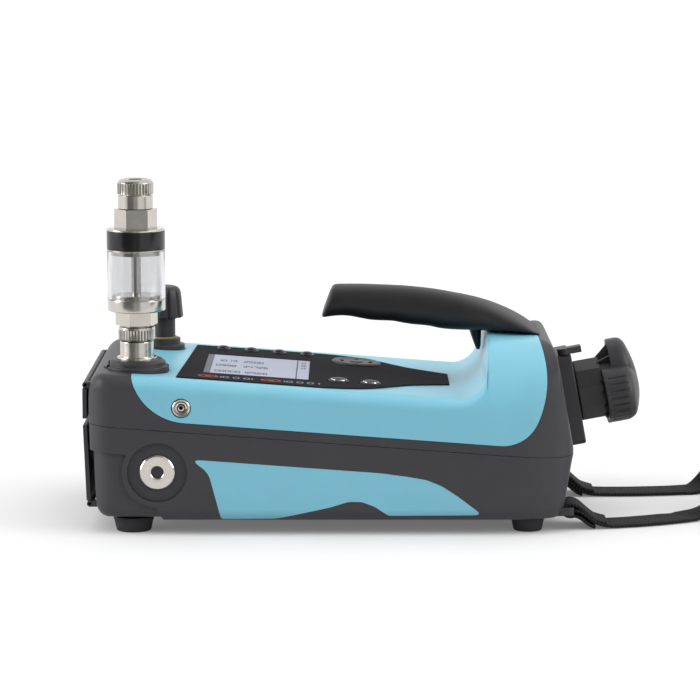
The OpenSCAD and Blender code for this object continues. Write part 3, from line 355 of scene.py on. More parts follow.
def twill(name, colour):
    """Woven webbing, with slanted ribs across the band."""
    mat = finish(name, colour, 0.85, depth=0.0, mottle=0.15, patch=6, shine=0.15, Sheen_Weight=0.04)
    tree = mat.node_tree
    ways = []
    for way in ("along", "across"):
        stored = add(tree, "Attribute")
        stored.attribute_name = way
        ways.append(stored.outputs["Fac"])
    place = add(tree, "CombineXYZ", X=ways[0], Y=ways[1]).outputs["Vector"]
    slant = add(tree, "Mapping", Rotation=(0, 0, TWILL_SLANT), Vector=place).outputs["Vector"]
    ribs = bands(tree, "X", TWILL_PITCH, Distortion=0.4, Detail_Scale=1.5, Vector=slant)
    wire(tree.nodes["Principled BSDF"], Base_Color=tinted(tree, ribs, colour, (0, 0.5), (1, 1.35)))
    bumped(tree, ribs, TWILL_DEPTH)
    return mat


AQUA = finish("aqua plastic", (112, 175, 194), 0.36, grain=0.5, depth=0.012, mottle=0.02)
GREY = finish("dark grey plastic", (54, 53, 57), 0.44, grain=0.7, depth=0.03, mottle=0.05, shine=0.3)
BLACK = finish("black plastic", (48, 47, 49), 0.42, grain=0.6, depth=0.02, shine=0.35)
GRIP = finish("soft grip", (30, 29, 30), 0.48, grain=0.8, depth=0.03, shine=0.35)
GLOSS = finish("glossy black", (18, 17, 17), 0.16, grain=0.5, depth=0.002)
RUBBER = finish("black rubber", (50, 49, 51), 0.7, grain=0.9, depth=0.04, shine=0.2)
NICKEL = turned_metal("nickel plated brass", (200, 195, 188), 0.16)
STEEL = finish("stainless steel", (190, 190, 188), 0.28, grain=0.35, depth=0.003, Metallic=1.0)
OVERLAY = finish("keypad overlay", (36, 35, 39), 0.7, grain=0.4, depth=0.01, shine=0.02)
SCREEN = finish("display", (160, 164, 180), 0.5, grain=0.5, depth=0.0, mottle=0.02, shine=0.1)
# Painted shade: the darker strip along the display's front edge stands in for the shadow of its bezel
BEZEL_SHADE = finish("display bezel shade", (92, 94, 106), 0.5, depth=0.0, shine=0.1)
INK = finish("display ink", (74, 78, 92), 0.5, depth=0.0, shine=0.1)
RED = finish("red print", (152, 70, 54), 0.6, depth=0.0, shine=0.1)
WHITE = finish("white print", (122, 134, 137), 0.6, depth=0.0, shine=0.1)
CLEAR = finish("clear bowl", (229, 230, 232), 0.06, depth=0.0, mottle=0.0, spread=0.04,
               Transmission_Weight=1.0, IOR=1.49)
BOARD = finish("circuit board", (30, 84, 56), 0.45)
CELL = finish("battery wrap", (52, 72, 116), 0.4)
BRASS = turned_metal("brass", (196, 170, 92), 0.3)
COPPER = finish("copper tube", (186, 124, 84), 0.3, Metallic=1.0)
YELLOW = finish("yellow ring", (132, 126, 72), 0.5)
WEBBING = twill("webbing", (34, 32, 32))
THREAD = finish("thread", (54, 52, 52), 0.8, grain=0.3, depth=0.05)

# Camera, at the photograph's angle
CAMERA_U = 161
CAMERA_Y = -1895.3
CAMERA_Z = 378.4
CAMERA_DROP = 8.25
FOCAL_PIXELS = 3000
PICTURE_PIXELS = 700
SENSOR = 36
camera_data = bpy.data.cameras.new("camera")
camera_data.sensor_width = SENSOR
camera_data.lens = SENSOR * FOCAL_PIXELS / PICTURE_PIXELS
camera_data.clip_end = 20
camera = bpy.data.objects.new("camera", camera_data)
camera.location = BODY_SPACE @ Vector((CAMERA_U, CAMERA_Y, CAMERA_Z))
camera.rotation_euler = (radians(90 - CAMERA_DROP), 0, 0)
scene.collection.objects.link(camera)
scene.camera = camera

# Strap: flat webbing along points (x, y, z, roll), its spare length folded into a hank behind the tie
STRAP_W = 25
STRAP_T = 2
HANK_X0 = 252
HANK_X1 = 392
HANK_IN = HANK_X0 + 12
HANK_Y0 = 14
HANK_PITCH = 10
HANK_RUNS = 6
HANK_Z = STRAP_W / 2 + 1.8
STRAP_EXIT = X_FRONT + BODY_L + 0.4
LUG_Y = 54
LUG_LOW = 9.6
LUG_T = 5
LUG_MID = LUG_LOW + LUG_T / 2
BEND_X = 132.5
NEAR_ROUTE = [(STRAP_EXIT, -LUG_Y, LUG_MID, 0), (BEND_X, -LUG_Y, 11.4, 0), (136.5, -53.6, 8, 0),
              (141.5, -52.8, 4, 0), (148, -51.4, 1.9, 0), (158, -49, 1.4, 0), (174, -44, 1.4, 0),
              (190, -37, 1.4, 0), (203, -30, 1.6, 0), (212, -23.5, 5.2, 18), (221, -15, 10.4, 46),
              (232, -3, 13.8, 74), (HANK_X0 - 8, 10, HANK_Z, 90)]
FAR_ROUTE = [(STRAP_EXIT, LUG_Y, LUG_MID, 0), (BEND_X, LUG_Y, 11.4, 0), (136.5, 54, 8, 0), (141.5, 54, 4, 0),
             (148, 54, 1.9, 0), (158, 53.8, 1.4, 0), (174, 54, 1.4, 0), (190, 55.5, 1.4, 0),
             (205, 58, 1.4, 0), (217, 61, 1.6, 0), (227, 63.4, 5.8, -20), (234, 64.4, 11, -50),
             (241, 64.6, 14, -78), (HANK_X0 - 5, 64.4, HANK_Z, -90)]
LUG_END = X_FRONT + BODY_L
FOLD_PATH = [(150, 3.5), (145, 4.9), (141.5, 6.5), (136.8, 10.5), (132.8, 14), (LUG_END + 0.4, 15.6),
             (LUG_END - 2.4, 15.7), (LUG_END - 5.3, 14.6), (LUG_END - 6.3, 12.1), (LUG_END - 5.3, 9.4),
             (LUG_END - 2.4, 8.4), (LUG_END + 1, 8.7), (133.2, 7.4), (136, 5.2), (139.2, 2.8), (142.5, 1.25)]
FOLD_DRIFT = 0.17
ACROSS = Vector((0, 1, 0))
STITCH_ROWS = 13
STITCH_REACH = 4
STITCH_STEP = 2.5
STITCH_SUNK = 0.15
STITCH = prism(round_rect(1.9, 0.6, 0.25, 3), 0, 0.4)
FOLD_STEPS = 12
RUN_STEPS = 10


def hank_route():
    """The runs of the hank, joined by round folds."""
    route = []
    for k in range(HANK_RUNS):
        y = HANK_Y0 + k * HANK_PITCH
        side = 1 if k % 2 == 0 else -1
        start = HANK_X0 if k == 0 else HANK_X1 if side < 0 else HANK_IN
        end = HANK_X0 if k == HANK_RUNS - 1 else HANK_X1 if side > 0 else HANK_IN
        route += [(start + (end - start) * j / RUN_STEPS, y, HANK_Z, 90 * side) for j in range(RUN_STEPS + 1)]
        if k < HANK_RUNS - 1:
            for j in range(1, FOLD_STEPS):
                t = radians(-90 + 180 * j / FOLD_STEPS)
                route.append((end + side * HANK_PITCH / 2 * cos(t),
                              y + HANK_PITCH / 2 + HANK_PITCH / 2 * sin(t), HANK_Z, 90 * side))
    return route


def smooth_path(points, per_span):
    """Catmull-Rom points through a route, roll included."""
    out = []
    for k in range(len(points) - 1):
        p = [Vector(points[min(max(k + d, 0), len(points) - 1)]) for d in (-1, 0, 1, 2)]
        for j in range(per_span):
            t = j / per_span
            out.append(0.5 * (2 * p[1] + (p[2] - p[0]) * t + (2 * p[0] - 5 * p[1] + 4 * p[2] - p[3]) * t * t
                              + (3 * p[1] - p[0] - 3 * p[2] + p[3]) * t ** 3))
    out.append(Vector(points[-1]))
    return out


def webbing_rings(route, side=None):
    """Cross-sections of the webbing, a flat band with full round edges; side fixes the way across it."""
    half_w = STRAP_W / 2
    half_t = STRAP_T / 2
    section = [(half_w - half_t + half_t * cos(t), half_t * sin(t))
               for t in [radians(-90 + 45 * k) for k in range(5)]]
    section += [(w, half_t) for w in (half_w * 0.6, half_w * 0.2, -half_w * 0.2, -half_w * 0.6)]
    section += [(-x, -z) for x, z in section]
    rings = []
    for i, p in enumerate(route):
        ahead = route[min(i + 1, len(route) - 1)].to_3d() - route[max(i - 1, 0)].to_3d()
        along = ahead.normalized()
        across = side
        if side is None:
            level = along.cross(Vector((0, 0, 1))).normalized()
            turn = radians(abs(p[3]))
            across = cos(turn) * level + sin(turn) * level.cross(along)
        out = across.cross(along)
        rings.append([tuple(p.to_3d() + across * w + out * t) for w, t in section])
    return rings


def weave_places(obj, route, sides):
    """Stores how far each point is along the webbing and across it, in millimetres, for the weave."""
    far = [0.0]
    for p, q in zip(route, route[1:]):
        far.append(far[-1] + (q.to_3d() - p.to_3d()).length)
    along = obj.data.attributes.new("along", "FLOAT", "POINT")
    across = obj.data.attributes.new("across", "FLOAT", "POINT")
    for i, vert in enumerate(obj.data.vertices):
        ring, k = divmod(i, sides)
        centre = ROW_SPACE @ route[ring].to_3d()
        along.data[i].value = far[ring]
        way = 1 if k < sides / 4 or k >= 3 * sides / 4 else -1
        across.data[i].value = (vert.co - centre).length / MM * way


def webbing(name, route, nodes=(), side=None):
    """A stretch of webbing along a route."""
    rings = webbing_rings(route, side)
    obj = mesh_object(name, lofted(rings), ROW_SPACE)
    weave_places(obj, route, len(rings[0]))
    return dress(obj, WEBBING, "webbing", nodes=nodes, smooth=50)


def sewn_end(name, side):
    """An end of the webbing, folded round the bar of its lug and sewn back on itself in a square."""
    drift = FOLD_DRIFT if side < 0 else 0
    route = smooth_path([(x, side * LUG_Y + drift * max(x - BEND_X, 0), z, 0) for x, z in FOLD_PATH], 4)
    end = webbing(name, route, side=ACROSS)
    threads = []
    for i in range(1, STITCH_ROWS + 1):
        along = (route[i + 1].to_3d() - route[i - 1].to_3d()).normalized()
        out = along.cross(ACROSS)
        cross_row = i in (1, STITCH_ROWS)
        way = (ACROSS, -along) if cross_row else (along, ACROSS)
        turn = Matrix((*way, out)).transposed().to_4x4()
        reach = range(-STITCH_REACH, STITCH_REACH + 1) if cross_row else (-STITCH_REACH, STITCH_REACH)
        for k in reach:
            spot = route[i].to_3d() + ACROSS * STITCH_STEP * k + out * (STRAP_T / 2 - STITCH_SUNK)
            threads.append(placed(STITCH, Matrix.Translation(spot) @ turn))
    return [end, piece(name + "_stitches", joined(*threads), THREAD, "webbing", space=ROW_SPACE)]


def strap():
    """One length of webbing from the near lug round the hank to the far lug."""
    spare = [Vector(p) for p in hank_route()]
    near = smooth_path(NEAR_ROUTE + [tuple(spare[0])], 5)[:-1]
    far = smooth_path(FAR_ROUTE + [tuple(spare[-1])], 5)[:-1]
    route = near + spare + far[::-1]
    obj = webbing("carrying_strap", route, ("strap_near", "strap_hank", "strap_far"))
    path = [tuple(MM * c for c in p.to_3d()) for p in route]
    length = sum((Vector(a) - Vector(b)).length for a, b in zip(path, path[1:]))
    ends = sewn_end("near_sewn_end", -1) + sewn_end("far_sewn_end", 1)
    keeper = eased("strap_tie", "strap_keeper", RUBBER, 0.5)
    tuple(path[0])


strap()

# Casing: one smooth skin over sections along u, cut into the shells and their seams
BROW_R = 10
NECK_R = 16
FRONT_R = 18
REAR_R = 34
DOME_R = 45
DECK_R = 8
FRONT_LEAN = radians(2.2)
REAR_LEAN = radians(11)
CROWN_LEAN = radians(10.8)
WAIST_R = 20
WAIST_Z = 49
CROWN_R = 24
WALL = 3
DECK_T = 5
SEAM = 0.3
LEAST_SECTION = 6
LIP_R = 4
LIP_IN = 1.6
HUMP_EDGE_R = 5
LIP_SHARPER = 4.5
CROWN_SOFTER = 6
CORNER_SOFT = 10
CROWN_START = 268
# Stretches of u over which the casing's section changes
HUMP_BLEND = (216, 240)
DECK_BLEND = (216, 236)
EDGE_BLEND = (218, 236)
LIP_BLEND = (247, 254)
SHIFT_BLEND = (252, 300)
CORNER_BLEND = (266, 286)
CROWN_BLEND = (284, 292)
DECK_LINE = SPLIT_H * cos(SLOPE) + DECK_H + 0.1


def on_line(line, u):
    """Height at u of a line that slopes with the deck, at this distance from the frame's origin."""
    return (line - sin(SLOPE) * u) / cos(SLOPE)


def top_profile():
    """Points (u, z) along the top of the casing: brow, deck, hollow, hump and crown."""
    brow = arc((BROW_R, on_line(DECK_LINE - BROW_R, BROW_R)), BROW_R, 180, 90 - degrees(SLOPE), 14)
    deck = [(u, on_line(DECK_LINE, u)) for u in (13, 16, 20, 30, 50, 80, 110, 140, 170, 200, 214, 222)]
    neck_z = on_line(DECK_LINE + NECK_R, HUMP_U - NECK_R)
    neck = arc((HUMP_U - NECK_R, neck_z), NECK_R, -90 - degrees(SLOPE), -8, 16)
    lip = arc((HUMP_U + LIP_IN + LIP_R, HUMP_H - LIP_R), LIP_R, 172, 90, 7)
    hump = [(u, HUMP_H) for u in (256, 262, CROWN_START)]
    waist_u = BODY_L - WAIST_R
    line_u = waist_u + WAIST_R * cos(CROWN_LEAN)
    line_z = WAIST_Z + WAIST_R * sin(CROWN_LEAN)
    top_u = line_u - (HUMP_H - line_z) * tan(CROWN_LEAN)
    shoulder = rounded([(CROWN_START, HUMP_H), (top_u, HUMP_H, CROWN_R), (line_u, line_z)], 9)
    crown = [(line_u - (z - line_z) * tan(CROWN_LEAN), z) for z in (96, 90, 84, 78, 72, 66, 60)]
    waist = arc((waist_u, WAIST_Z), WAIST_R, degrees(CROWN_LEAN), 0, 6)
    return brow + deck + neck + lip + hump + [tuple(p) for p in shoulder[1:-1]] + crown + waist


REAR_BASE_U = (cos(REAR_LEAN) * (BODY_L - WAIST_R) - sin(REAR_LEAN) * (WAIST_Z - FOOT_H - BASE_R)
               + WAIST_R - BASE_R) / cos(REAR_LEAN)
TOE_U = (BASE_R + sin(FRONT_LEAN) * (SPLIT_H - FOOT_H - BASE_R)) / cos(FRONT_LEAN)


def base_z(u):
    """Height of the underside, which rises along the leaning front and rear faces."""
    low = FOOT_H + BASE_R
    if u < TOE_U:
        lean = SPLIT_H - u / tan(FRONT_LEAN)
        return max(lean, low - sqrt(max(BASE_R ** 2 - (TOE_U - u) ** 2, 0)))
    if u < REAR_BASE_U:
        return FOOT_H
    arc_end = REAR_BASE_U + BASE_R * cos(REAR_LEAN)
    if u < arc_end:
        return low - sqrt(BASE_R ** 2 - (u - REAR_BASE_U) ** 2)
    waist_start = BODY_L - WAIST_R + WAIST_R * cos(REAR_LEAN)
    if u < waist_start:
        return low - BASE_R * sin(REAR_LEAN) + (u - arc_end) / tan(REAR_LEAN)
    return WAIST_Z - sqrt(max(WAIST_R ** 2 - (u - BODY_L + WAIST_R) ** 2, 0))


def fall(r, over):
    """How far a round edge of radius r has fallen, this far over its start."""
    return r - sqrt(max(r ** 2 - over ** 2, 0)) if over > 0 else 0


def plan_w(u):
    """Half width of the casing, with its round corners in plan."""
    return HALF_W - fall(FRONT_R, FRONT_R - 1 - u) - fall(REAR_R, u - (BODY_L + 1 - REAR_R))


def side_y(u, z, low, high, edge, inset):
    """Half width at a height: plan, hump and the rounded edges above and below."""
    plan = plan_w(u) - inset
    dome = HALF_W - inset - fall(DOME_R - inset, z - HUMP_H + DOME_R) * smoothstep(*HUMP_BLEND, u)
    soft = CORNER_SOFT * smoothstep(*CORNER_BLEND, u)
    if soft:
        mix = min(max(0.5 + 0.5 * (dome - plan) / soft, 0), 1)
        y = dome + (plan - dome) * mix - soft * mix * (1 - mix)
    else:
        y = min(plan, dome)
    base = min(BASE_R - inset, 0.45 * (high - low))
    return max(y - fall(base, low + base - z) - fall(edge, z - high + edge), 1)


def casing_skin(inset=0.0):
    """Points and faces of the casing's skin, drawn inwards by inset."""
    rings = []
    for u, top in top_profile():
        deck_inset = inset + (DECK_T - WALL) * (inset / WALL) * (1 - smoothstep(*DECK_BLEND, u))
        low = base_z(u) + inset
        high = top - deck_inset
        if high - low < LEAST_SECTION:
            continue
        shift = inset * (1 - 2 * smoothstep(*SHIFT_BLEND, u))
        edge = DECK_R - inset
        edge += (HUMP_EDGE_R - DECK_R) * smoothstep(*EDGE_BLEND, u)
        edge += CROWN_SOFTER * smoothstep(*CROWN_BLEND, u) - LIP_SHARPER * smoothstep(*LIP_BLEND, u)
        edge = max(min(edge, 0.4 * (high - low)), 0.2)
        base = min(BASE_R - inset, 0.45 * (high - low))
        knee = min(max(HUMP_H - DOME_R, low + base + 0.5), high - edge - 0.5)
        levels = [low + base * (1 - cos(radians(90 * k / 6))) for k in range(6)]
        levels += [low + base + (knee - low - base) * k / 4 for k in range(4)]
        levels += [knee + (high - edge - knee) * sin(radians(90 * k / 12)) for k in range(12)]
        levels += [high - edge + edge * sin(radians(90 * k / 7)) for k in range(8)]
        side = [(side_y(u, z, low, high, edge, inset), z) for z in levels]
        foot = [(side[0][0] * k / 5, low) for k in range(5)]
        lid = [(side[-1][0] * (1 - k / 8), high) for k in range(1, 9)]
        half = foot + side + lid
        ring = half + [(-y, z) for y, z in half[-2:0:-1]]
        rings.append([(u + shift, y, z) for y, z in ring])
    return lofted(rings)


COVER_U = 26
COVER_FRONT_R = 36
COVER_REAR_R = 66
COVER_REAR_C = (BODY_L - 17.8 - COVER_REAR_R, HUMP_H - 20)
COVER_REAR_TURN = 50
COVER_CORNER_R = 24
BAND_H = 5.8
FAR = 400


def cover_outline(gap):
    """Outline of the upper cover, seen from the side, drawn inwards by gap."""
    line = SPLIT_H * cos(SLOPE) + BAND_H
    front_u = COVER_U + COVER_FRONT_R
    front_c = (front_u, on_line(line + COVER_FRONT_R, front_u))
    slope = degrees(SLOPE)
    reach = COVER_REAR_R - COVER_CORNER_R
    u = COVER_REAR_C[0]
    for _ in range(40):
        drop_z = on_line(line + COVER_CORNER_R, u) - COVER_REAR_C[1]
        u = COVER_REAR_C[0] + sqrt(max(reach ** 2 - drop_z ** 2, 0))
    corner_c = (u, on_line(line + COVER_CORNER_R, u))
    corner_turn = degrees(atan2(corner_c[1] - COVER_REAR_C[1], corner_c[0] - COVER_REAR_C[0]))
    return (arc(front_c, COVER_FRONT_R - gap, 180, 270 - slope, 24)
            + arc(corner_c, COVER_CORNER_R - gap, -90 - slope, corner_turn, 16)
            + arc(COVER_REAR_C, COVER_REAR_R - gap, corner_turn, COVER_REAR_TURN, 28)
            + [(COVER_U + gap, FAR)])


PANEL_T = 1.2
PANEL_DROP = 16.3


def panel_top(u):
    """Height of the straight upper edge of the lower side panels."""
    return SPLIT_H - u * tan(SLOPE) - PANEL_DROP / cos(SLOPE)


PANEL_OUTLINE = rounded([
    (63, panel_top(63), 5), (74, 40, 14), (82, FOOT_H + 1, 2), (115, FOOT_H + 1.5, 30),
    (149, FOOT_H + 9.2, 30), (160, FOOT_H + 12.6, 10), (168, FOOT_H + 12.6, 10), (176, FOOT_H + 9.7, 14),
    (185, FOOT_H + 3.6, 3), (243, FOOT_H + 4, 2), (227, FOOT_H + 16, 30), (218, FOOT_H + 22, 20),
    (208, panel_top(208) - 2.2, 20), (196, panel_top(196) - 1, 20), (180, panel_top(180), 30)], closed=True)
SHOULDER_IN = 1.9
ARCH_R = 21.8
PORT_U = 28.6
PORT_Y = -50
VALVE_U = 39.5
VALVE_Y = 50
PORT_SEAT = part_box("port_flange")[0][2] / MM
VALVE_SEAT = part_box("valve_flange")[0][2] / MM
FLANGE_R = 19.8
VALVE_FLANGE_R = 13.3
SIDE_PORT_U = 42.6
SIDE_PORT_Z = 39.7
SIDE_POCKET_R = 18.5
SIDE_POCKET_D = 2.5
SEAT_GAP = 0.8
JACK_HOLE_R = 6.1
SCREW_BORE_R = 3.9
CUT_REACH = 9
SEAT_CUT = 20
SHOULDER_START = -30
AHEAD = -50
JACK_U = 57.6
JACK_Z = SPLIT_H - JACK_U * tan(SLOPE) + 15
PLATE_W = 46
PLATE_H = 58
PLATE_DROP = 1.5
PLATE_GAP = 0.2
PLATE_T = 11
PLATE_R = 3
LCD = (67.2, -49.5, 66, 80)
SOFT_KEYS = [(76 + 18.3 * k, 55, 4.5) for k in range(4)]
NAV = (163, 38, 16)
KEY_LEFT = (152, -46, 6.5)
KEY_RIGHT = (172, -47, 6.5)
KEY_GAP = 0.3


def disc(r, low, high, n=64):
    """A plain round block, for cutting."""
    return turned([(r, low), (r, high)], n)


def at(u, y, z):
    """Moves a shape to a place in the casing's millimetres."""
    return Matrix.Translation((u, y, z))


TO_NEAR = spun(pi / 2, "X")
SHOULDER_OUTLINE = ([(u, panel_top(u)) for u in (SHOULDER_START, SIDE_PORT_U - 18.7)]
                    + arc((SIDE_PORT_U, SIDE_PORT_Z), ARCH_R, 149.5, 268, 24)
                    + [(SIDE_PORT_U + 8, 0), (SHOULDER_START, 0)])
SCREW_Y = 71.8
CASE_SCREWS = [(u, side * SCREW_Y) for u in (88, BODY_L - 45) for side in (-1, 1)]
BAY = ((-20, -46.5, 19.5), (9, 58.5, 46.5))
STRIP = ((-20, -50.2, 78.8), (20, 50.2, 90.2))
LEVER_POCKET = ((-8.7, -28.5, 27), (60, -7.5, 33))


def deck_cuts():
    """The display's and the keys' holes through the deck, in the deck's frame."""
    a, y, length, width = LCD
    low, high = DECK_H - CUT_REACH, DECK_H + CUT_REACH
    window = box((a, y, low), (a + length, y + width, high))
    keys = SOFT_KEYS + [NAV, KEY_LEFT, KEY_RIGHT]
    return joined(window, *[placed(disc(r + KEY_GAP, low, high), at(u, v, 0)) for u, v, r in keys])


def seat_cuts():
    """The seats of the port, the valve and the jack."""
    return joined(placed(disc(FLANGE_R + SEAT_GAP, 0, SEAT_CUT), at(PORT_U, PORT_Y, PORT_SEAT)),
                  placed(disc(VALVE_FLANGE_R + SEAT_GAP, 0, SEAT_CUT), at(VALVE_U, VALVE_Y, VALVE_SEAT)),
                  placed(disc(JACK_HOLE_R, 0, SEAT_CUT), at(JACK_U, -HALF_W + 12, JACK_Z) @ TO_NEAR))


def through(outline):
    """An outline seen from the side, drawn out across the whole casing."""
    return prism(outline, -FAR, FAR, "y")


def half_space(side):
    """Everything above the parting plane (side 1) or below it (side -1), less half a seam."""
    ends = [(u, SPLIT_H + side * SEAM / 2 - u * tan(SLOPE)) for u in (AHEAD, FAR)]
    return through(ends + [(FAR, side * FAR), (AHEAD, side * FAR)])


def casing():
    """The shells of the casing and its lower side panels."""
    skin = mesh_object("skin", casing_skin())
    thin = casing_skin(PANEL_T + 0.1)
    shell = twin(skin, "shell")
    carve(shell, casing_skin(WALL))
    upper = twin(shell, "upper_frame_skin")
    carve(upper, half_space(1), "INTERSECT")
    seat = round_rect(PLATE_W + 2 * PLATE_GAP, PLATE_H + 2 * PLATE_GAP, PLATE_R)
    seat = [(a, b - PLATE_DROP) for a, b in seat]
    carve(upper, prism(seat, -PLATE_T - PLATE_GAP, 60, "x"), space=REAR_SPACE)
    carve(upper, box(*LEVER_POCKET), space=REAR_SPACE)
    cover = twin(upper, "upper_cover_skin")
    carve(cover, through(cover_outline(SEAM / 2)), "INTERSECT")
    carve(cover, deck_cuts(), space=DECK_SPACE)
    carve(cover, seat_cuts())
    dress(cover, AQUA, "aqua_plastic", nodes=("upper_cover", "hump_cover"), bevel=0.5)
    carve(upper, through(cover_outline(-SEAM / 2)))
    carve(upper, seat_cuts())
    carve(upper, box(*STRIP))
    dress(upper, GREY, "grey_plastic", nodes=("upper_frame",), bevel=0.5)
    lower = twin(shell, "lower_case_skin")
    carve(lower, half_space(-1), "INTERSECT")
    for side, name in ((-1, "side_panel_near"), (1, "side_panel_far")):
        low, high = sorted((side * (HALF_W + 5), side * (HALF_W - 14)))
        recess = mesh_object("recess", prism(PANEL_OUTLINE, low, high, "y"))
        panel = twin(skin, name + "_skin")
        carve(panel, recess, "INTERSECT")
        carve(panel, thin)
        dress(panel, AQUA, "aqua_plastic", nodes=(name,), bevel=0.4)
        carve(recess, thin)
        carve(lower, recess)
        drop(recess)
    pocket = at(SIDE_PORT_U, SIDE_POCKET_D - HALF_W, SIDE_PORT_Z) @ TO_NEAR
    carve(lower, placed(disc(SIDE_POCKET_R, 0, SEAT_CUT), pocket))
    shoulder = mesh_object("shoulder", through(SHOULDER_OUTLINE))
    carve(shoulder, casing_skin(SHOULDER_IN))
    carve(lower, shoulder)
    bore = disc(SCREW_BORE_R, 0, FOOT_H + WALL + 0.1, 32)
    bores = [placed(bore, at(u, y, 0)) for u, y in CASE_SCREWS]
    carve(lower, joined(box(*BAY), *bores))
    dress(lower, GREY, "grey_plastic", nodes=("lower_case",), bevel=0.5)
    drop(skin, shell, shoulder)


casing()

# Lugs for the strap, and the ears that hold the hinge pins of the two front doors
LUG_IN = 15
LUG_W = 32
SLOT = (LUG_IN - 6 - 5.5, 5.5, 26.4)
EAR_R = 1.9
EAR_W = 5
EAR_Y = 67.5


def strap_lug(y):
    """A flat lug at the foot of the rear face, with a slot for the webbing."""
    middle = BODY_L - LUG_IN / 2
    slot_u = BODY_L - SLOT[0] - SLOT[1] / 2
    outer = [(middle + a, y + b) for a, b in round_rect(LUG_IN, LUG_W, 2.5)]
    inner = [(slot_u + a, y + b) for a, b in round_rect(SLOT[1], SLOT[2], 1)]
    return hollow(outer, inner, LUG_LOW, LUG_LOW + LUG_T)


def hinge_ears(pin, root):
    """Two round-nosed ears on a hinge pin, whose foot lies root behind its axis."""
    low, high = [BODY_SPACE.inverted() @ Vector(c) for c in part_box(pin)]
    u, z = (low.x + high.x) / 2, (low.z + high.z) / 2
    side = arc((u, z), EAR_R, 90, 270, 12) + [(u + root, z - EAR_R), (u + root, z + EAR_R)]
    return [prism(side, s * EAR_Y - EAR_W / 2, s * EAR_Y + EAR_W / 2, "y") for s in (-1, 1)]


piece("strap_lugs", joined(strap_lug(-LUG_Y), strap_lug(LUG_Y)), GREY, "grey_plastic", bevel=0.5)
ears = hinge_ears("cover_pin", 4) + hinge_ears("door_pin", 7)
piece("door_hinge_ears", joined(*ears), GREY, "grey_plastic", bevel=0.3)

# Handle: rounded sections (u from the hump front, bottom, top, half width)
HANDLE = [(-98.8, 128.5, 142.4, 9.5), (-98.5, 126, 144.6, 13), (-97.2, 125.2, 145.7, 14.9),
          (-94, 125.6, 146, 15.8), (-88, 126.3, 146, 16), (-82, 126, 146, 16), (-76, 124.7, 145.95, 16),
          (-70, 123.5, 145.8, 16), (-64, 123.1, 145.6, 16), (-57, 122.8, 145.3, 16), (-51, 121.7, 145, 16),
          (-45, 120.7, 144.5, 16.1), (-39, 120.2, 143.9, 16.3), (-33, 119.5, 143.2, 16.6),
          (-27, 118.2, 142.3, 17.2), (-20, 117.5, 141, 18), (-13, 117.3, 139.6, 19.8), (-7, 117.3, 138.2, 22),
          (-1, 117.2, 136.6, 24.5), (6, 117.2, 134.2, 27.8), (13, 117.2, 131.2, 30.2), (20, 117.2, 127.8, 31),
          (27, 117.2, 123.6, 30), (32, 117.2, 119.8, 28.2), (35.5, 117.2, 117.9, 26)]
HANDLE_SLANT = radians(20)
SLANT_BLEND = (-97, -60)
HANDLE_SIDES = 40
HANDLE_POWER = 0.8
TONGUE_SIDES = 24
TONGUE = [(122, -4.7, 4.4, 9), (117, -4.2, 3.9, 8.8), (112, -3.4, 3, 7.6), (107, -2.6, 2, 5),
          (104.4, -2.3, 1, 2.4)]


def power(v, p):
    """A signed power, which squares an ellipse's corners."""
    return copysign(abs(v) ** p, v)


def handle_shape():
    """The grip, lofted to its root on the hump, and the tongue on the front of the hump."""
    rings = []
    for s, low, high, half in smooth_path(HANDLE, 3):
        slant = tan(HANDLE_SLANT * (1 - smoothstep(*SLANT_BLEND, s)))
        middle = (low + high) / 2
        ring = []
        for t in turns(HANDLE_SIDES):
            rise = (high - low) / 2 * power(sin(t), HANDLE_POWER)
            ring.append((HUMP_U + s + rise * slant, half * power(cos(t), HANDLE_POWER), middle + rise))
        rings.append(ring)
    tongue = []
    for z, s, reach, half in TONGUE:
        tongue.append([(HUMP_U + s + reach * cos(t), half * sin(t), z) for t in turns(TONGUE_SIDES)])
    return joined(lofted(rings), lofted(tongue))


piece("carrying_handle", handle_shape(), GRIP, "grip_plastic", ("handle",), smooth=45)

# Moisture trap, upwards from its flange on the deck
FLANGE_LOW = 4.5
FLANGE_H = 8.5
NIPPLE_Z = PORT_SEAT + FLANGE_H
COLLAR_Z = NIPPLE_Z + 11.5
COLLAR_R = 11.4
COLLAR_H = 9.5
BASE_Z = COLLAR_Z + 10
HEX_AF = 23
HEX_R = HEX_AF / 2 / cos(radians(30))
BASE_HEX_H = 9
BASE_RING_H = 7
BOWL_Z = BASE_Z + BASE_HEX_H + BASE_RING_H
BOWL_R = 18
BOWL_WALL = 2.5
BOWL_H = 30.5
HEAD_Z = BOWL_Z + BOWL_H
BAND_LEN = 13.5
HEAD_HEX_Z = HEAD_Z + BAND_LEN
HEAD_HEX_H = 12
OUTLET_Z = HEAD_HEX_Z + HEAD_HEX_H
CAP_Z = OUTLET_Z + 8.5
CAP_R = 11.2
CAP_H = 9.75
SPIGOT_R = 7.5
CAP_SPIGOT_R = 6.8
OUTLET_BORE = 4.3
KNURLS = 36
KNURL_DEPTH = 0.8
HEX_EDGE = 0.35
RUN_GAP = 0.05


def hexagon(t, r, z):
    """A hexagon of the trap's size, cut round at radius r."""
    turn = (t + pi / 6) % (pi / 3) - pi / 6
    return min(HEX_AF / 2 / cos(turn), r)


def hex_block(z, h, turn):
    """A hexagonal nut with chamfered ends."""
    face = HEX_R - HEX_EDGE
    full = HEX_R + 0.1
    chamfer = HEX_EDGE * 0.7
    profile = [(0, 0), (face, 0), (full, chamfer), (full, h - chamfer), (face, h), (0, h)]
    return placed(turned(profile, 96, hexagon), at(PORT_U, PORT_Y, z) @ spun(radians(turn + 30)))


def knurled(low, high):
    """A radius with grooves between two heights."""
    def shape(t, r, z):
        return r - KNURL_DEPTH * (0.5 + 0.5 * cos(KNURLS * t)) ** 2 if low <= z <= high else r
    return shape


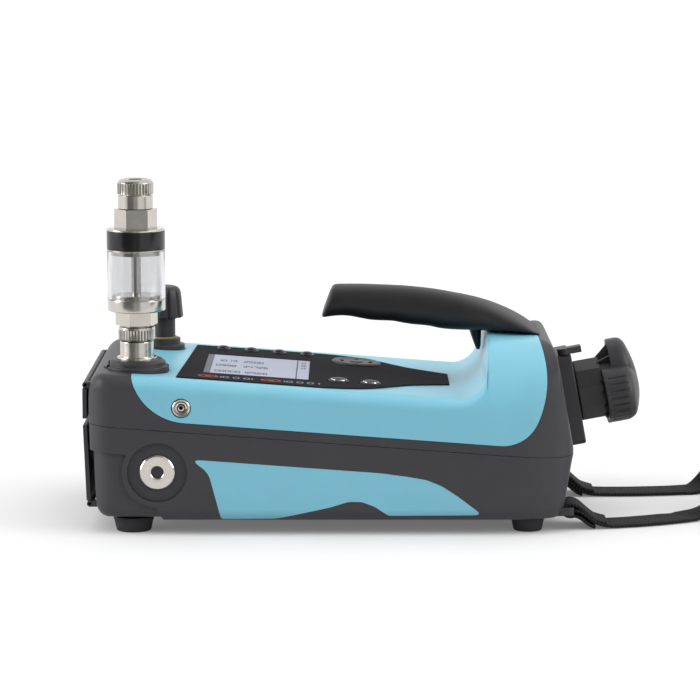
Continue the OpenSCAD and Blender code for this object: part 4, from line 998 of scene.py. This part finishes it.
def on_port(profile, z, n=96, shape=None, closed=True):
    """A turned piece on the axis of the trap."""
    return placed(turned(profile, n, shape, closed), at(PORT_U, PORT_Y, z))


def fitting(name, shape, node, body="casing"):
    """A plated fitting that stands for its node."""
    piece(name, shape, NICKEL, "nickel", (node,), body)


def trap():
    """The pieces of the trap, each on its own node."""
    step_r = FLANGE_R - 2
    flange = [(6.1, 0), (FLANGE_R, 0), (FLANGE_R, FLANGE_LOW, 0.8), (step_r, FLANGE_LOW, 0.5),
              (step_r, FLANGE_H - 1.6, 0.6), (FLANGE_R - 4.2, FLANGE_H, 0.8), (6.1, FLANGE_H)]
    obj = mesh_object("trap_flange", on_port(rounded(flange), PORT_SEAT))
    slot = rounded([(-18.6, -9, 1.2), (-16.4, -9, 1.2), (-16.4, -1, 1.2), (-18.6, -1, 1.2)], closed=True)
    notch = box((FLANGE_R - 1, -3, -1), (FLANGE_R + 5, 3, FLANGE_LOW + 1))
    cuts = joined(prism(slot, FLANGE_LOW - 1.5, FLANGE_H), notch)
    carve(obj, placed(cuts, at(PORT_U, PORT_Y, PORT_SEAT)))
    dress(obj, BLACK, "black_plastic", nodes=("port_flange",), bevel=0.25)
    nipple = [(2, -8), (6, -8), (6, FLANGE_H), (12.4, FLANGE_H), (12.4, FLANGE_H + 1.4, 0.5),
              (10.3, FLANGE_H + 1.5, 0.4), (10.3, 19.6, 0.6), (9.2, 20, 0.2), (SPIGOT_R, 20), (SPIGOT_R, 34),
              (2, 34)]
    fitting("trap_nipple", on_port(rounded(nipple), PORT_SEAT), "port_nipple")
    bore = SPIGOT_R + RUN_GAP
    collar = [(bore, 0.3), (10.6, 0.3), (COLLAR_R, 1.1), (COLLAR_R, 1.3), (COLLAR_R, COLLAR_H - 2.6),
              (COLLAR_R, COLLAR_H - 2.5), (COLLAR_R - 0.2, COLLAR_H - 1), (10.4, COLLAR_H - 0.3),
              (bore, COLLAR_H - 0.3)]
    ring = on_port(collar, COLLAR_Z, 216, knurled(1.2, COLLAR_H - 2.55))
    fitting("lower_coupling_ring", ring, "lower_coupling", "lower_coupling")
    ring_r = BOWL_R - 0.1
    ring_z = BASE_HEX_H + BASE_RING_H
    plug_r = BOWL_R - BOWL_WALL - 0.1
    ring = [(0, BASE_HEX_H - 0.5), (BOWL_R - 1.6, BASE_HEX_H - 0.5), (ring_r, BASE_HEX_H, 0.9),
            (ring_r, ring_z, 0.4), (plug_r, ring_z), (plug_r, ring_z + 3, 0.4), (0, ring_z + 3)]
    base = joined(hex_block(BASE_Z, BASE_HEX_H - 0.4, 15), on_port(rounded(ring), BASE_Z, closed=False))
    fitting("trap_base_fitting", base, "trap_base")
    inside = BOWL_R - BOWL_WALL
    bowl = on_port(rounded([(inside, 0), (BOWL_R, 0, 0.5), (BOWL_R, BOWL_H, 0.5), (inside, BOWL_H)]), BOWL_Z)
    piece("clear_trap_bowl", bowl, CLEAR, "clear_bowl", ("trap_bowl",))
    tube = [(2, 3), (3, 3), (3, BOWL_H - 3), (2, BOWL_H - 3)]
    fitting("trap_tube", on_port(tube, BOWL_Z, 48), "trap_inner_tube")
    waist = BOWL_R - 0.7
    body = [(0, -3), (plug_r, -3), (plug_r, 0), (BOWL_R, 0), (BOWL_R, 0.5, 0.15), (waist, 0.6),
            (waist, BAND_LEN - 1.3), (BOWL_R, BAND_LEN - 1.3), (BOWL_R, BAND_LEN - 0.4, 0.4),
            (BOWL_R - 1.4, BAND_LEN, 0.4), (0, BAND_LEN)]
    neck_r = CAP_R - 0.3
    neck = [(OUTLET_BORE, 2.5), (OUTLET_BORE, 18), (CAP_SPIGOT_R - 0.6, 18), (CAP_SPIGOT_R, 17.4),
            (CAP_SPIGOT_R, 8.5), (10.6, 8.5), (neck_r, 8.1), (neck_r, 0.4), (10.2, 0), (10.2, -0.5),
            (0.5, -0.5), (0.5, 2.5)]
    head = joined(on_port(rounded(body), HEAD_Z, closed=False), hex_block(HEAD_HEX_Z, HEAD_HEX_H, 8),
                  on_port(neck, OUTLET_Z))
    fitting("trap_head_fitting", head, "trap_head")
    sleeve_r = BOWL_R - 0.68
    sleeve_z = BAND_LEN - 1.4
    band = [(sleeve_r, 0.6), (BOWL_R + 0.1, 0.6, 0.2), (BOWL_R + 0.1, sleeve_z, 0.2), (sleeve_r, sleeve_z)]
    piece("trap_sleeve", on_port(rounded(band), HEAD_Z), GLOSS, "black_plastic", ("trap_band",))
    bore = CAP_SPIGOT_R + RUN_GAP
    cap = [(bore, 0.25), (10.7, 0.25), (CAP_R, 0.9), (CAP_R, 1.0), (CAP_R, 7.4), (CAP_R, 7.5),
           (CAP_R - 0.35, 8.3), (CAP_R - 2, CAP_H), (CAP_R - 3.2, CAP_H + 0.2), (bore, CAP_H - 0.4)]
    ring = on_port(cap, CAP_Z, 216, knurled(0.95, 7.45))
    fitting("outlet_coupling_ring", ring, "top_coupling", "top_coupling")


trap()

# Vent valve
VALVE_H = 8
STEM_R = 7.2
STEM_H = 21.2
VALVE_KNOB_R = 12.5
VALVE_KNOB_H = 21
VALVE_FLUTES = 10
FLUTE_DEPTH = 1.3


def on_valve(profile, z, n=72, shape=None, closed=True):
    """A turned piece on the axis of the valve."""
    return placed(turned(profile, n, shape, closed), at(VALVE_U, VALVE_Y, z))


def fluted(t, r, z):
    """A knob's radius with finger grooves, which end below its crown."""
    groove = max(cos(VALVE_FLUTES * t), 0) ** 3
    return r - FLUTE_DEPTH * groove * smoothstep(5, 10.5, r) * (1 - smoothstep(17.5, 20, z))


def valve():
    """The vent valve's flange, ring, stem and fluted knob."""
    bore = STEM_R + RUN_GAP
    step_r = VALVE_FLANGE_R - 2.8
    flange = rounded([(bore, 0), (VALVE_FLANGE_R, 0), (VALVE_FLANGE_R, 4, 0.7), (step_r, 4, 0.4),
                      (step_r, VALVE_H, 0.7), (bore, VALVE_H)])
    piece("valve_flange_ring", on_valve(flange, VALVE_SEAT), BLACK, "black_plastic", ("valve_flange",))
    ring = rounded([(bore, 0), (STEM_R + 1.1, 0), (STEM_R + 1.1, 0.9, 0.3), (bore, 0.9)])
    piece("valve_colour_ring", on_valve(ring, VALVE_SEAT + VALVE_H), YELLOW, "yellow_ring", ("valve_ring",))
    stem = [(0, -8), (6, -8), (6, 0), (STEM_R, 0), (STEM_R, STEM_H, 0.5), (4, STEM_H), (4, STEM_H + 16),
            (0, STEM_H + 16)]
    spindle = on_valve(rounded(stem), VALVE_SEAT, closed=False)
    piece("valve_spindle", spindle, BLACK, "black_plastic", ("valve_stem",))
    # How far the knob's outside lies within its full radius, at each height
    outside = [(0.9, 0.3), (0, 1.1), (0, 1.6), (0.5, 6), (1, 12), (1.5, 16.5), (2.3, 18.7), (3.8, 20.2),
               (6, 20.9)]
    profile = [(VALVE_KNOB_R - within, z) for within, z in outside]
    profile = [(4.05, 0.3)] + profile + [(0, VALVE_KNOB_H + 0.2), (0, 17), (4.05, 17)]
    knob = on_valve(profile, VALVE_SEAT + STEM_H, 200, fluted)
    piece("vent_knob", knob, BLACK, "black_plastic", ("valve_knob",), "valve_knob", smooth=40)


valve()

# Keypad overlay, display and keys, in the deck's frame
OVERLAY_T = 1
OVERLAY_TOP = DECK_H + OVERLAY_T
PRINT_T = 0.08
OVERLAY_HALF_W = 70
OVERLAY_EDGE = [(143, OVERLAY_HALF_W), (160.4, 66), (175.4, 57), (188, 44), (199, 34), (222, 21)]
OVERLAY_FRONT = 51.8
OVERLAY_SLANT = 6.2
OVERLAY_SHIFT = -4.2


def overlay_outline():
    """The overlay's outline: a slanted front, and sides that taper to the hump."""
    edge = [tuple(p) for p in smooth_path(OVERLAY_EDGE, 5)]
    far = [(OVERLAY_FRONT + OVERLAY_SLANT, OVERLAY_HALF_W)] + edge
    near = [(OVERLAY_FRONT, -OVERLAY_HALF_W)] + [(a, -y) for a, y in edge]
    return [(a, y + OVERLAY_SHIFT) for a, y in far + near[::-1]]


def bar(a, y, length, width, low, high):
    """A small rounded bar along the deck or across it."""
    outline = round_rect(length, width, min(length, width) * 0.3, 3)
    return prism([(a + p, y + q) for p, q in outline], low, high)


def oval(a, y, ra, ry, n=28):
    """Points of an oval."""
    return [(a + ra * cos(t), y + ry * sin(t)) for t in turns(n)]


def oval_ring(a, y, ra, ry, width, low, high):
    """A printed oval outline."""
    return hollow(oval(a, y, ra, ry), oval(a, y, ra - width, ry - width), low, high)


SEGMENTS = {"0": "abcdef", "1": "bc", "2": "abged", "3": "abgcd", "4": "fgbc", "5": "afgcd", "6": "afgedc",
            "7": "abc", "8": "abcdefg", "9": "abcdfg"}
DIGIT_W = 2.2
DIGIT_H = 6.4
STROKE = 0.75
DIGIT_GAP = 1.1
NUMERAL_COLUMNS = (7, 24)
NUMERAL_ROWS = [(53, "1013", "2500"), (33, "0998", "34726"), (9, "00000", "12568")]
RULE_PLACE = 58
ICON_PLACE = 62
ICON_PITCH = 11
# Width of the strip of painted bezel shade along the display's front edge
BEZEL_SHADE_W = 4.2


def digit(a, y, character, low, high):
    """One generic seven-segment numeral, upright for a reader on the near side."""
    w, h = DIGIT_W, DIGIT_H
    places = {"a": (w / 2, h, 0), "g": (w / 2, h / 2, 0), "d": (w / 2, 0, 0), "f": (0, 0.75 * h, 1),
              "b": (w, 0.75 * h, 1), "e": (0, 0.25 * h, 1), "c": (w, 0.25 * h, 1)}
    bars = []
    for name in SEGMENTS[character]:
        x, z, upright = places[name]
        size = (STROKE, h / 2) if upright else (w, STROKE)
        bars.append(bar(a + x, y + z, *size, low, high))
    return bars


def display():
    """The display window: a lit panel with a darker strip of painted shade along its front edge, generic
    numerals and a column of small icons.
    """
    a, y, length, width = LCD
    top = OVERLAY_TOP - 0.35
    layer = (top, top + PRINT_T)
    screen = box((a + 0.1, y + 0.1, OVERLAY_TOP - 2), (a + length - 0.1, y + width - 0.1, top))
    piece("display_screen", screen, SCREEN, "display", ("lcd_glass",), space=DECK_SPACE, bevel=0.15)
    # Painted shade: a darker sheet along the screen's front edge, in place of the bezel's shadow
    edge = box((a + 0.1, y + 0.1, layer[0]), (a + BEZEL_SHADE_W, y + width - 0.1, layer[1]))
    piece("display_bezel_shade", edge, BEZEL_SHADE, "display", space=DECK_SPACE)
    ink = []
    for row, *numerals in NUMERAL_ROWS:
        for column, numeral in zip(NUMERAL_COLUMNS, numerals):
            for k, character in enumerate(numeral):
                ink += digit(a + column + k * (DIGIT_W + DIGIT_GAP), y + row, character, *layer)
    ink.append(bar(a + RULE_PLACE, y + width / 2, 0.8, width - 4, *layer))
    for k in range(3):
        ink.append(oval_ring(a + ICON_PLACE, y + width - 12 - ICON_PITCH * k, 1.6, 3, 0.7, *layer))
    piece("display_numerals", joined(*ink), INK, "display", space=DECK_SPACE)


def overlay():
    """The overlay with its holes and its generic printed marks."""
    obj = mesh_object("keypad_overlay", prism(overlay_outline(), DECK_H, OVERLAY_TOP), DECK_SPACE)
    carve(obj, deck_cuts(), space=DECK_SPACE)
    dress(obj, OVERLAY, "overlay", nodes=("membrane_panel",), bevel=0.25)
    layer = (OVERLAY_TOP, OVERLAY_TOP + PRINT_T)
    red, white = [], []
    for a in (71, 110):
        red += [oval_ring(a, -63.5, 6.4, 4.6, 1.4, *layer), bar(a, -63.5, 3.6, 2.6, *layer)]
    for a in (82, 88.5, 95, 121.5, 128, 134.5):
        white.append(oval_ring(a, -64, 2.2, 3.4, 0.8, *layer))
    for a in (79, 98.4, 118.4, 140):
        white.append(bar(a, -64, 0.9, 4.4, *layer))
    piece("red_key_marks", joined(*red), RED, "overlay", space=DECK_SPACE)
    piece("white_key_marks", joined(*white), WHITE, "overlay", space=DECK_SPACE)


def key_cap(a, y, r, crown, n):
    """A key from its plunger to its crown."""
    profile = [(0, 16.9), (3, 16.9), (3, 25.5), (r + 1.2, 25.5), (r + 1.2, 26.7), (r, 26.7), (r, 33.4, 0.5),
               (r - 1.1, 34.1, 0.6)]
    return placed(turned(rounded(profile + crown), n), at(a, y, 0))


def key(node, shape, material):
    """A key's piece, which stands for its node and moves with it."""
    piece(node + "_cap", shape, material, "keys", (node,), node, DECK_SPACE)


def keys():
    """Four small domed keys, the round pad with its dished middle, and two rimmed round keys."""
    for k, (a, y, r) in enumerate(SOFT_KEYS):
        crown = [(r * 0.66, 34.9, 1), (r * 0.3, 35.4, 0.6), (0, 35.5)]
        key("soft_key_%d" % (k + 1), key_cap(a, y, r, crown, 40), GLOSS)
    a, y, r = NAV
    crown = [(r - 2.6, 34.3, 0.8), (r - 6, 33.6, 2), (4.6, 33.5, 0.4), (4.2, 34.1, 0.4), (0, 34.3)]
    dot = turned([(0, 33.6), (1.5, 33.6), (1.2, 34.3), (0, 34.45)], 24)
    dots = [placed(dot, at(u, v, 0)) for u, v in oval(a, y, 9.4, 9.4, 4)]
    key("nav_pad", joined(key_cap(a, y, r, crown, 96), *dots), BLACK)
    for name, (a, y, r) in (("key_left", KEY_LEFT), ("key_right", KEY_RIGHT)):
        crown = [(r - 1.7, 33.6, 0.3), (r - 2.1, 34.7, 0.5), (r * 0.3, 35, 1), (0, 35.1)]
        key(name, key_cap(a, y, r, crown, 56), BLACK)
        rim = rounded([(r - 2.3, 33.4), (r - 2.2, 34.5, 0.2), (r - 1.6, 34.4, 0.3), (r - 1.3, 33.4)])
        rim = placed(turned(rim, 56, closed=True), at(a, y, 0))
        piece(name + "_rim", rim, NICKEL, "keys", (), name, DECK_SPACE)


display()
overlay()
keys()

# Connections on the near side
SIDE_PORT_R = 10.8
SIDE_BORE = 3.75


def on_side(profile, u, z, n):
    """A turned piece whose axis points out of the near side, with height 0 at the casing's side."""
    return placed(turned(profile, n, closed=True), at(u, -HALF_W, z) @ TO_NEAR)


def side_fittings():
    """The side port and the power socket."""
    port = [(0, -15), (SIDE_BORE, -15), (SIDE_BORE, -1.1), (SIDE_BORE + 0.5, -0.6, 0.2),
            (SIDE_PORT_R - 0.9, -0.5, 0.3), (SIDE_PORT_R, -1.2, 0.2), (SIDE_PORT_R, -2.5), (8, -2.5),
            (8, -24), (0, -24)]
    fitting("side_port_fitting", on_side(rounded(port), SIDE_PORT_U, SIDE_PORT_Z, 72), "side_port")
    jack = [(0.9, -13.5), (0.9, -1.5), (1.2, -1), (1.9, -1.1), (2.3, -1.7), (2.3, -6), (2.8, -6), (2.8, -0.8),
            (3.6, -0.5), (4.1, -1.2), (4.1, -1.7), (4.5, -1.7), (4.6, -0.3), (5.1, 0), (5.6, -0.4),
            (5.6, -13), (5, -14), (0.9, -14)]
    fitting("power_socket_rings", on_side(jack, JACK_U, JACK_Z, 64), "dc_jack")


side_fittings()

# Rear plate behind the adjuster, with the bore of its screw
PLATE_BORE = 5.2


def rear_plate():
    """A flat plate with a soft edge round its rear face."""
    outer = round_rect(PLATE_W, PLATE_H, PLATE_R)
    face = round_rect(PLATE_W - 1.6, PLATE_H - 1.6, PLATE_R - 0.8)
    hole = [(PLATE_BORE * cos(t), PLATE_BORE * sin(t)) for t in [atan2(b, a) for a, b in outer]]
    levels = ((outer, -PLATE_T, PLATE_DROP), (outer, -0.8, PLATE_DROP), (face, 0, PLATE_DROP), (hole, 0, 0),
              (hole, -PLATE_T, 0))
    return lofted([[(x, a, b - down) for a, b in line] for line, x, down in levels], closed=True)


piece("rear_plate_body", rear_plate(), GREY, "grey_plastic", ("rear_plate",), space=REAR_SPACE, bevel=0.3)

# Volume adjuster knob: a hollow shell of three lobes on a ten-sided collar, about the tilted rear axis
LOBE_R = 17.5
LOBE_OFF = 12
LOBE_TURN = 48
LOBE_WALL = 2.8
RIB_STEP = 15
RIB_REACH = 63
RIB_DEPTH = 0.75
DRUM_R = 20
DRUM_SIDES = 10
DRUM_TURN = 7
KNOB_LOW = 0.8
KNOB_BACK = 17.4
KNOB_TOP = 40.4
HUB_R = 18
KNOB_SIDES = 480
GRIP_CUT = 6.6
GRIP_EDGE = (radians(57), radians(60))
KNOB_BORE = 5.1
FLANK_END = 30
RIM_IN = 0.26
RIM_RISE = 6.4
DOME_EDGE = 0.829
DOME_DROP = 4.4
WEB_T = 1.2
WEB_LEANS = (-38, -13, 13, 38)
TO_REAR = spun(pi / 2, "Y")


def lobe_angle(t):
    """The angle from the nearest lobe's direction."""
    return (t - radians(LOBE_TURN) + pi / 3) % (2 * pi / 3) - pi / 3


def lobe_reach(t, r):
    """Distance from the axis to the outline of the three lobes, when their radius is r."""
    d = lobe_angle(t)
    return LOBE_OFF * cos(d) + sqrt(max(r ** 2 - (LOBE_OFF * sin(d)) ** 2, 0))


def finger_cut(t):
    """1 on the smooth lobe, whose edge is cut back for the fingers, and 0 on the two others."""
    turn = abs((t - radians(LOBE_TURN + 120) + pi) % (2 * pi) - pi)
    return 1 - smoothstep(*GRIP_EDGE, turn)


def rib_groove(t):
    """Depth of the grip grooves, which run along the outer face of each lobe."""
    d = lobe_angle(t)
    reach = lobe_reach(t, LOBE_R)
    turn = degrees(atan2(reach * sin(d), reach * cos(d) - LOBE_OFF))
    fade = (1 - smoothstep(RIB_REACH - 3, RIB_REACH, abs(turn))) * (1 - finger_cut(t))
    return RIB_DEPTH * fade * max(cos(radians(360 * turn / RIB_STEP)), 0) ** 3


def knob_lip(t):
    """Where the shell starts along the axis."""
    return KNOB_BACK + GRIP_CUT * finger_cut(t)


def knob_shell():
    """The lobed shell, as rings from the middle of its hollow out over the lip to the middle of its dome."""
    inside = [(0.02, 37.2), (0.35, 36.6), (0.65, 35.4), (0.86, 33.4), (0.96, 31)]
    rim = [(1 - RIM_IN * (1 - cos(a)), FLANK_END + RIM_RISE * sin(a))
           for a in [radians(10 * k) for k in range(8)]]
    dome = [(f, KNOB_TOP - DOME_DROP * (f / DOME_EDGE) ** 2) for f in (0.7, 0.56, 0.42, 0.28, 0.14, 0.02)]
    angles = turns(KNOB_SIDES)
    inner = [max(lobe_reach(t, LOBE_R - LOBE_WALL), HUB_R - 0.5) for t in angles]
    outer = [lobe_reach(t, LOBE_R) for t in angles]
    grooves = [rib_groove(t) for t in angles]
    lips = [knob_lip(t) for t in angles]

    def ring(radii, heights):
        return [(r * cos(t), r * sin(t), z) for r, t, z in zip(radii, angles, heights)]
    rings = [ring([f * r for r in inner], [z] * KNOB_SIDES) for f, z in inside]
    rings += [ring(inner, [lip + share * (29 - lip) for lip in lips]) for share in (1, 0.04)]
    rings.append(ring([r + 0.4 for r in inner], lips))
    rings.append(ring([r - 0.5 for r in outer], lips))
    for share, cut in ((0.04, 0), (0.12, 0), (0.22, 1), (0.6, 1), (0.85, 1)):
        rings.append(ring([r - cut * g for r, g in zip(outer, grooves)],
                          [lip + share * (FLANK_END - lip) for lip in lips]))
    for k, (f, z) in enumerate(rim):
        cut = max(1 - k / 3, 0)
        rings.append(ring([f * r - cut * g for r, g in zip(outer, grooves)], [z] * KNOB_SIDES))
    rings += [ring([f * r for r in outer], [z] * KNOB_SIDES) for f, z in dome]
    return lofted(rings)


def adjuster_knob():
    """The knob: shell, hub, webs in its hollow and ten-sided collar."""
    hub_low = KNOB_BACK - 3
    hub = turned([(KNOB_BORE, hub_low), (HUB_R, hub_low), (HUB_R, 36), (KNOB_BORE, 36)], 96, closed=True)
    face_r = DRUM_R - 0.6
    drum = [(KNOB_BORE, KNOB_LOW), (face_r, KNOB_LOW), (DRUM_R, KNOB_LOW + 0.6), (DRUM_R, KNOB_BACK - 0.6),
            (face_r, KNOB_BACK), (KNOB_BORE, KNOB_BACK)]
    drum = placed(turned(drum, DRUM_SIDES, closed=True), spun(radians(DRUM_TURN)))
    parts = [knob_shell(), hub, drum]
    for k in range(3):
        for lean in WEB_LEANS:
            turn = radians(LOBE_TURN + 120 * k + lean)
            reach = lobe_reach(turn, LOBE_R - LOBE_WALL) + 0.8
            web = [(HUB_R - 1, KNOB_BACK - 2), (face_r, KNOB_BACK - 2), (reach, knob_lip(turn) + 0.4),
                   (reach, 34), (HUB_R - 1, 34)]
            parts.append(placed(prism(web, -WEB_T / 2, WEB_T / 2, "y"), spun(turn)))
    shape = placed(joined(*parts), TO_REAR)
    piece("volume_knob", shape, BLACK, "black_plastic", ("adjuster_knob",), "adjuster_knob", REAR_SPACE, 30)


adjuster_knob()

# Feet: the outside of a pad, from its radius
FOOT_PROFILE = [(-5, 0.6), (-4.2, 0), (-1.8, 0, 0.8), (-0.5, 6, 1), (0, 7.2, 0.5), (0, FOOT_H)]
for name in ("foot_front_near", "foot_front_far", "foot_rear_near", "foot_rear_far"):
    low, high = [Vector(c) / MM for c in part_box(name)]
    radius = (high.x - low.x) / 2
    middle = (low + high) / 2
    profile = [(0, 0.6)] + [(radius + p[0], *p[1:]) for p in FOOT_PROFILE] + [(0, FOOT_H)]
    pad = placed(turned(rounded(profile), 56), at(middle.x, middle.y, 0))
    piece(name + "_pad", pad, RUBBER, "black_rubber", (name,), space=ROW_SPACE)

# Doors and lever: the solids with softer edges
eased("battery_door", "battery_door_panel", GREY, 0.6, "battery_door")
eased("connector_cover", "connector_cover_panel", GREY, 0.6, "connector_cover")
eased("selector_lever", "selector_lever_arm", BLACK, 0.5, "selector_lever")

# Finishes of the nodes that stay as they are
PLAIN = {
    "handle_bracket": STEEL, "handle_screws": STEEL, "lcd_module": BLACK, "main_board": BOARD,
    "board_screws": STEEL, "battery_pack": CELL, "door_pin": STEEL, "cover_pin": STEEL, "socket_strip": BLACK,
    "case_screws": STEEL, "manifold_block": STEEL, "pressure_sensor": STEEL, "pressure_line": COPPER,
    "adjuster_cylinder": STEEL, "adjuster_piston": BRASS, "adjuster_screw": STEEL}
for node, material in PLAIN.items():
    obj = frame["nodes"][node]
    obj.data.materials.clear()
    obj.data.materials.append(material)

# Stage: white floor and backdrop, and soft studio light
FLOOR_SIZE = 40
FLOOR_NEAR = 0.6
FLOOR_TONE = 0.6
FLOOR_GLOW = 0.14
ROOM_PANELS = [(0.03, 1.0), (0.08, 0.9), (0.14, 0.16), (0.4, 0.2), (0.48, 0.42), (0.62, 0.36), (0.7, 0.95),
               (0.92, 0.9), (0.97, 0.3)]


def larger(tree, one, other):
    """The larger of two outputs."""
    node = add(tree, "Math")
    node.operation = "MAXIMUM"
    tree.links.new(one, node.inputs[0])
    tree.links.new(other, node.inputs[1])
    return node.outputs["Value"]


def white_floor():
    """A white floor that keeps the object's shadow, and ends in front of the picture.

    It glows for the camera, for reflections and through clear parts, and doesn't light other surfaces.
    """
    mat = bpy.data.materials.new("floor")
    mat.use_nodes = True
    tree = mat.node_tree
    path = add(tree, "LightPath").outputs
    seen = larger(tree, path["Is Camera Ray"], path["Is Glossy Ray"])
    seen = larger(tree, seen, path["Is Transmission Ray"])
    glow = add(tree, "MapRange", To_Min=0.0, To_Max=FLOOR_GLOW, Value=seen)
    wire(tree.nodes["Principled BSDF"], Base_Color=(FLOOR_TONE, FLOOR_TONE, FLOOR_TONE, 1), Roughness=0.9,
         Specular_IOR_Level=0.0, Emission_Color=(1, 1, 1, 1), Emission_Strength=glow.outputs["Result"])
    half = FLOOR_SIZE / 2 / MM
    near = -FLOOR_NEAR / MM
    corners = [(-half, near, 0), (half, near, 0), (half, half, 0), (-half, half, 0)]
    floor = mesh_object("floor", (corners, [(0, 1, 2, 3)]), ROW_SPACE)
    floor.data.materials.append(mat)


def studio_world():
    """A white backdrop, and a dimmer room with light and dark panels on the camera's side."""
    world = bpy.data.worlds.new("studio")
    scene.world = world
    world.use_nodes = True
    tree = world.node_tree
    place = add(tree, "SeparateXYZ", Vector=add(tree, "TexCoord").outputs["Generated"]).outputs
    across = add(tree, "MapRange", From_Min=-1.0, Value=place["X"])
    panels = add(tree, "ValToRGB", Fac=across.outputs["Result"])
    stops = panels.color_ramp.elements
    for spot, level in ROOM_PANELS:
        stops.new(spot).color = (level, level, level, 1)
    stops.remove(stops[-1])
    stops.remove(stops[0])
    room = add(tree, "MapRange", From_Min=-0.2, From_Max=0.3, To_Min=panels.outputs["Color"], To_Max=1.0,
               Value=place["Y"])
    room.interpolation_type = "SMOOTHSTEP"
    level = larger(tree, add(tree, "LightPath").outputs["Is Camera Ray"], room.outputs["Result"])
    wire(tree.nodes["Background"], Color=(1, 1, 1, 1), Strength=level)


def soft_sun(name, spot, power, spread, mirrored=True):
    """Soft light from the direction of a spot, the same all over the floor; metal may mirror it or not."""
    data = bpy.data.lights.new(name, "SUN")
    data.energy = power
    data.angle = radians(spread)
    lamp = bpy.data.objects.new(name, data)
    lamp.location = spot
    lamp.visible_glossy = mirrored
    lamp.rotation_euler = Vector(spot).to_track_quat("Z", "Y").to_euler()
    scene.collection.objects.link(lamp)


white_floor()
studio_world()
soft_sun("key light", (-1.1, -0.75, 1.1), 0.9, 40, False)
soft_sun("front light", (0.1, -0.5, 1.3), 0.8, 60, False)
soft_sun("left light", (-1.5, -0.2, 0.5), 1.5, 35)
soft_sun("rear light", (1.3, -0.35, 0.6), 1.2, 35)
soft_sun("top light", (0.2, 0.3, 1.5), 0.4, 60, False)
scene.view_settings.view_transform = "Standard"
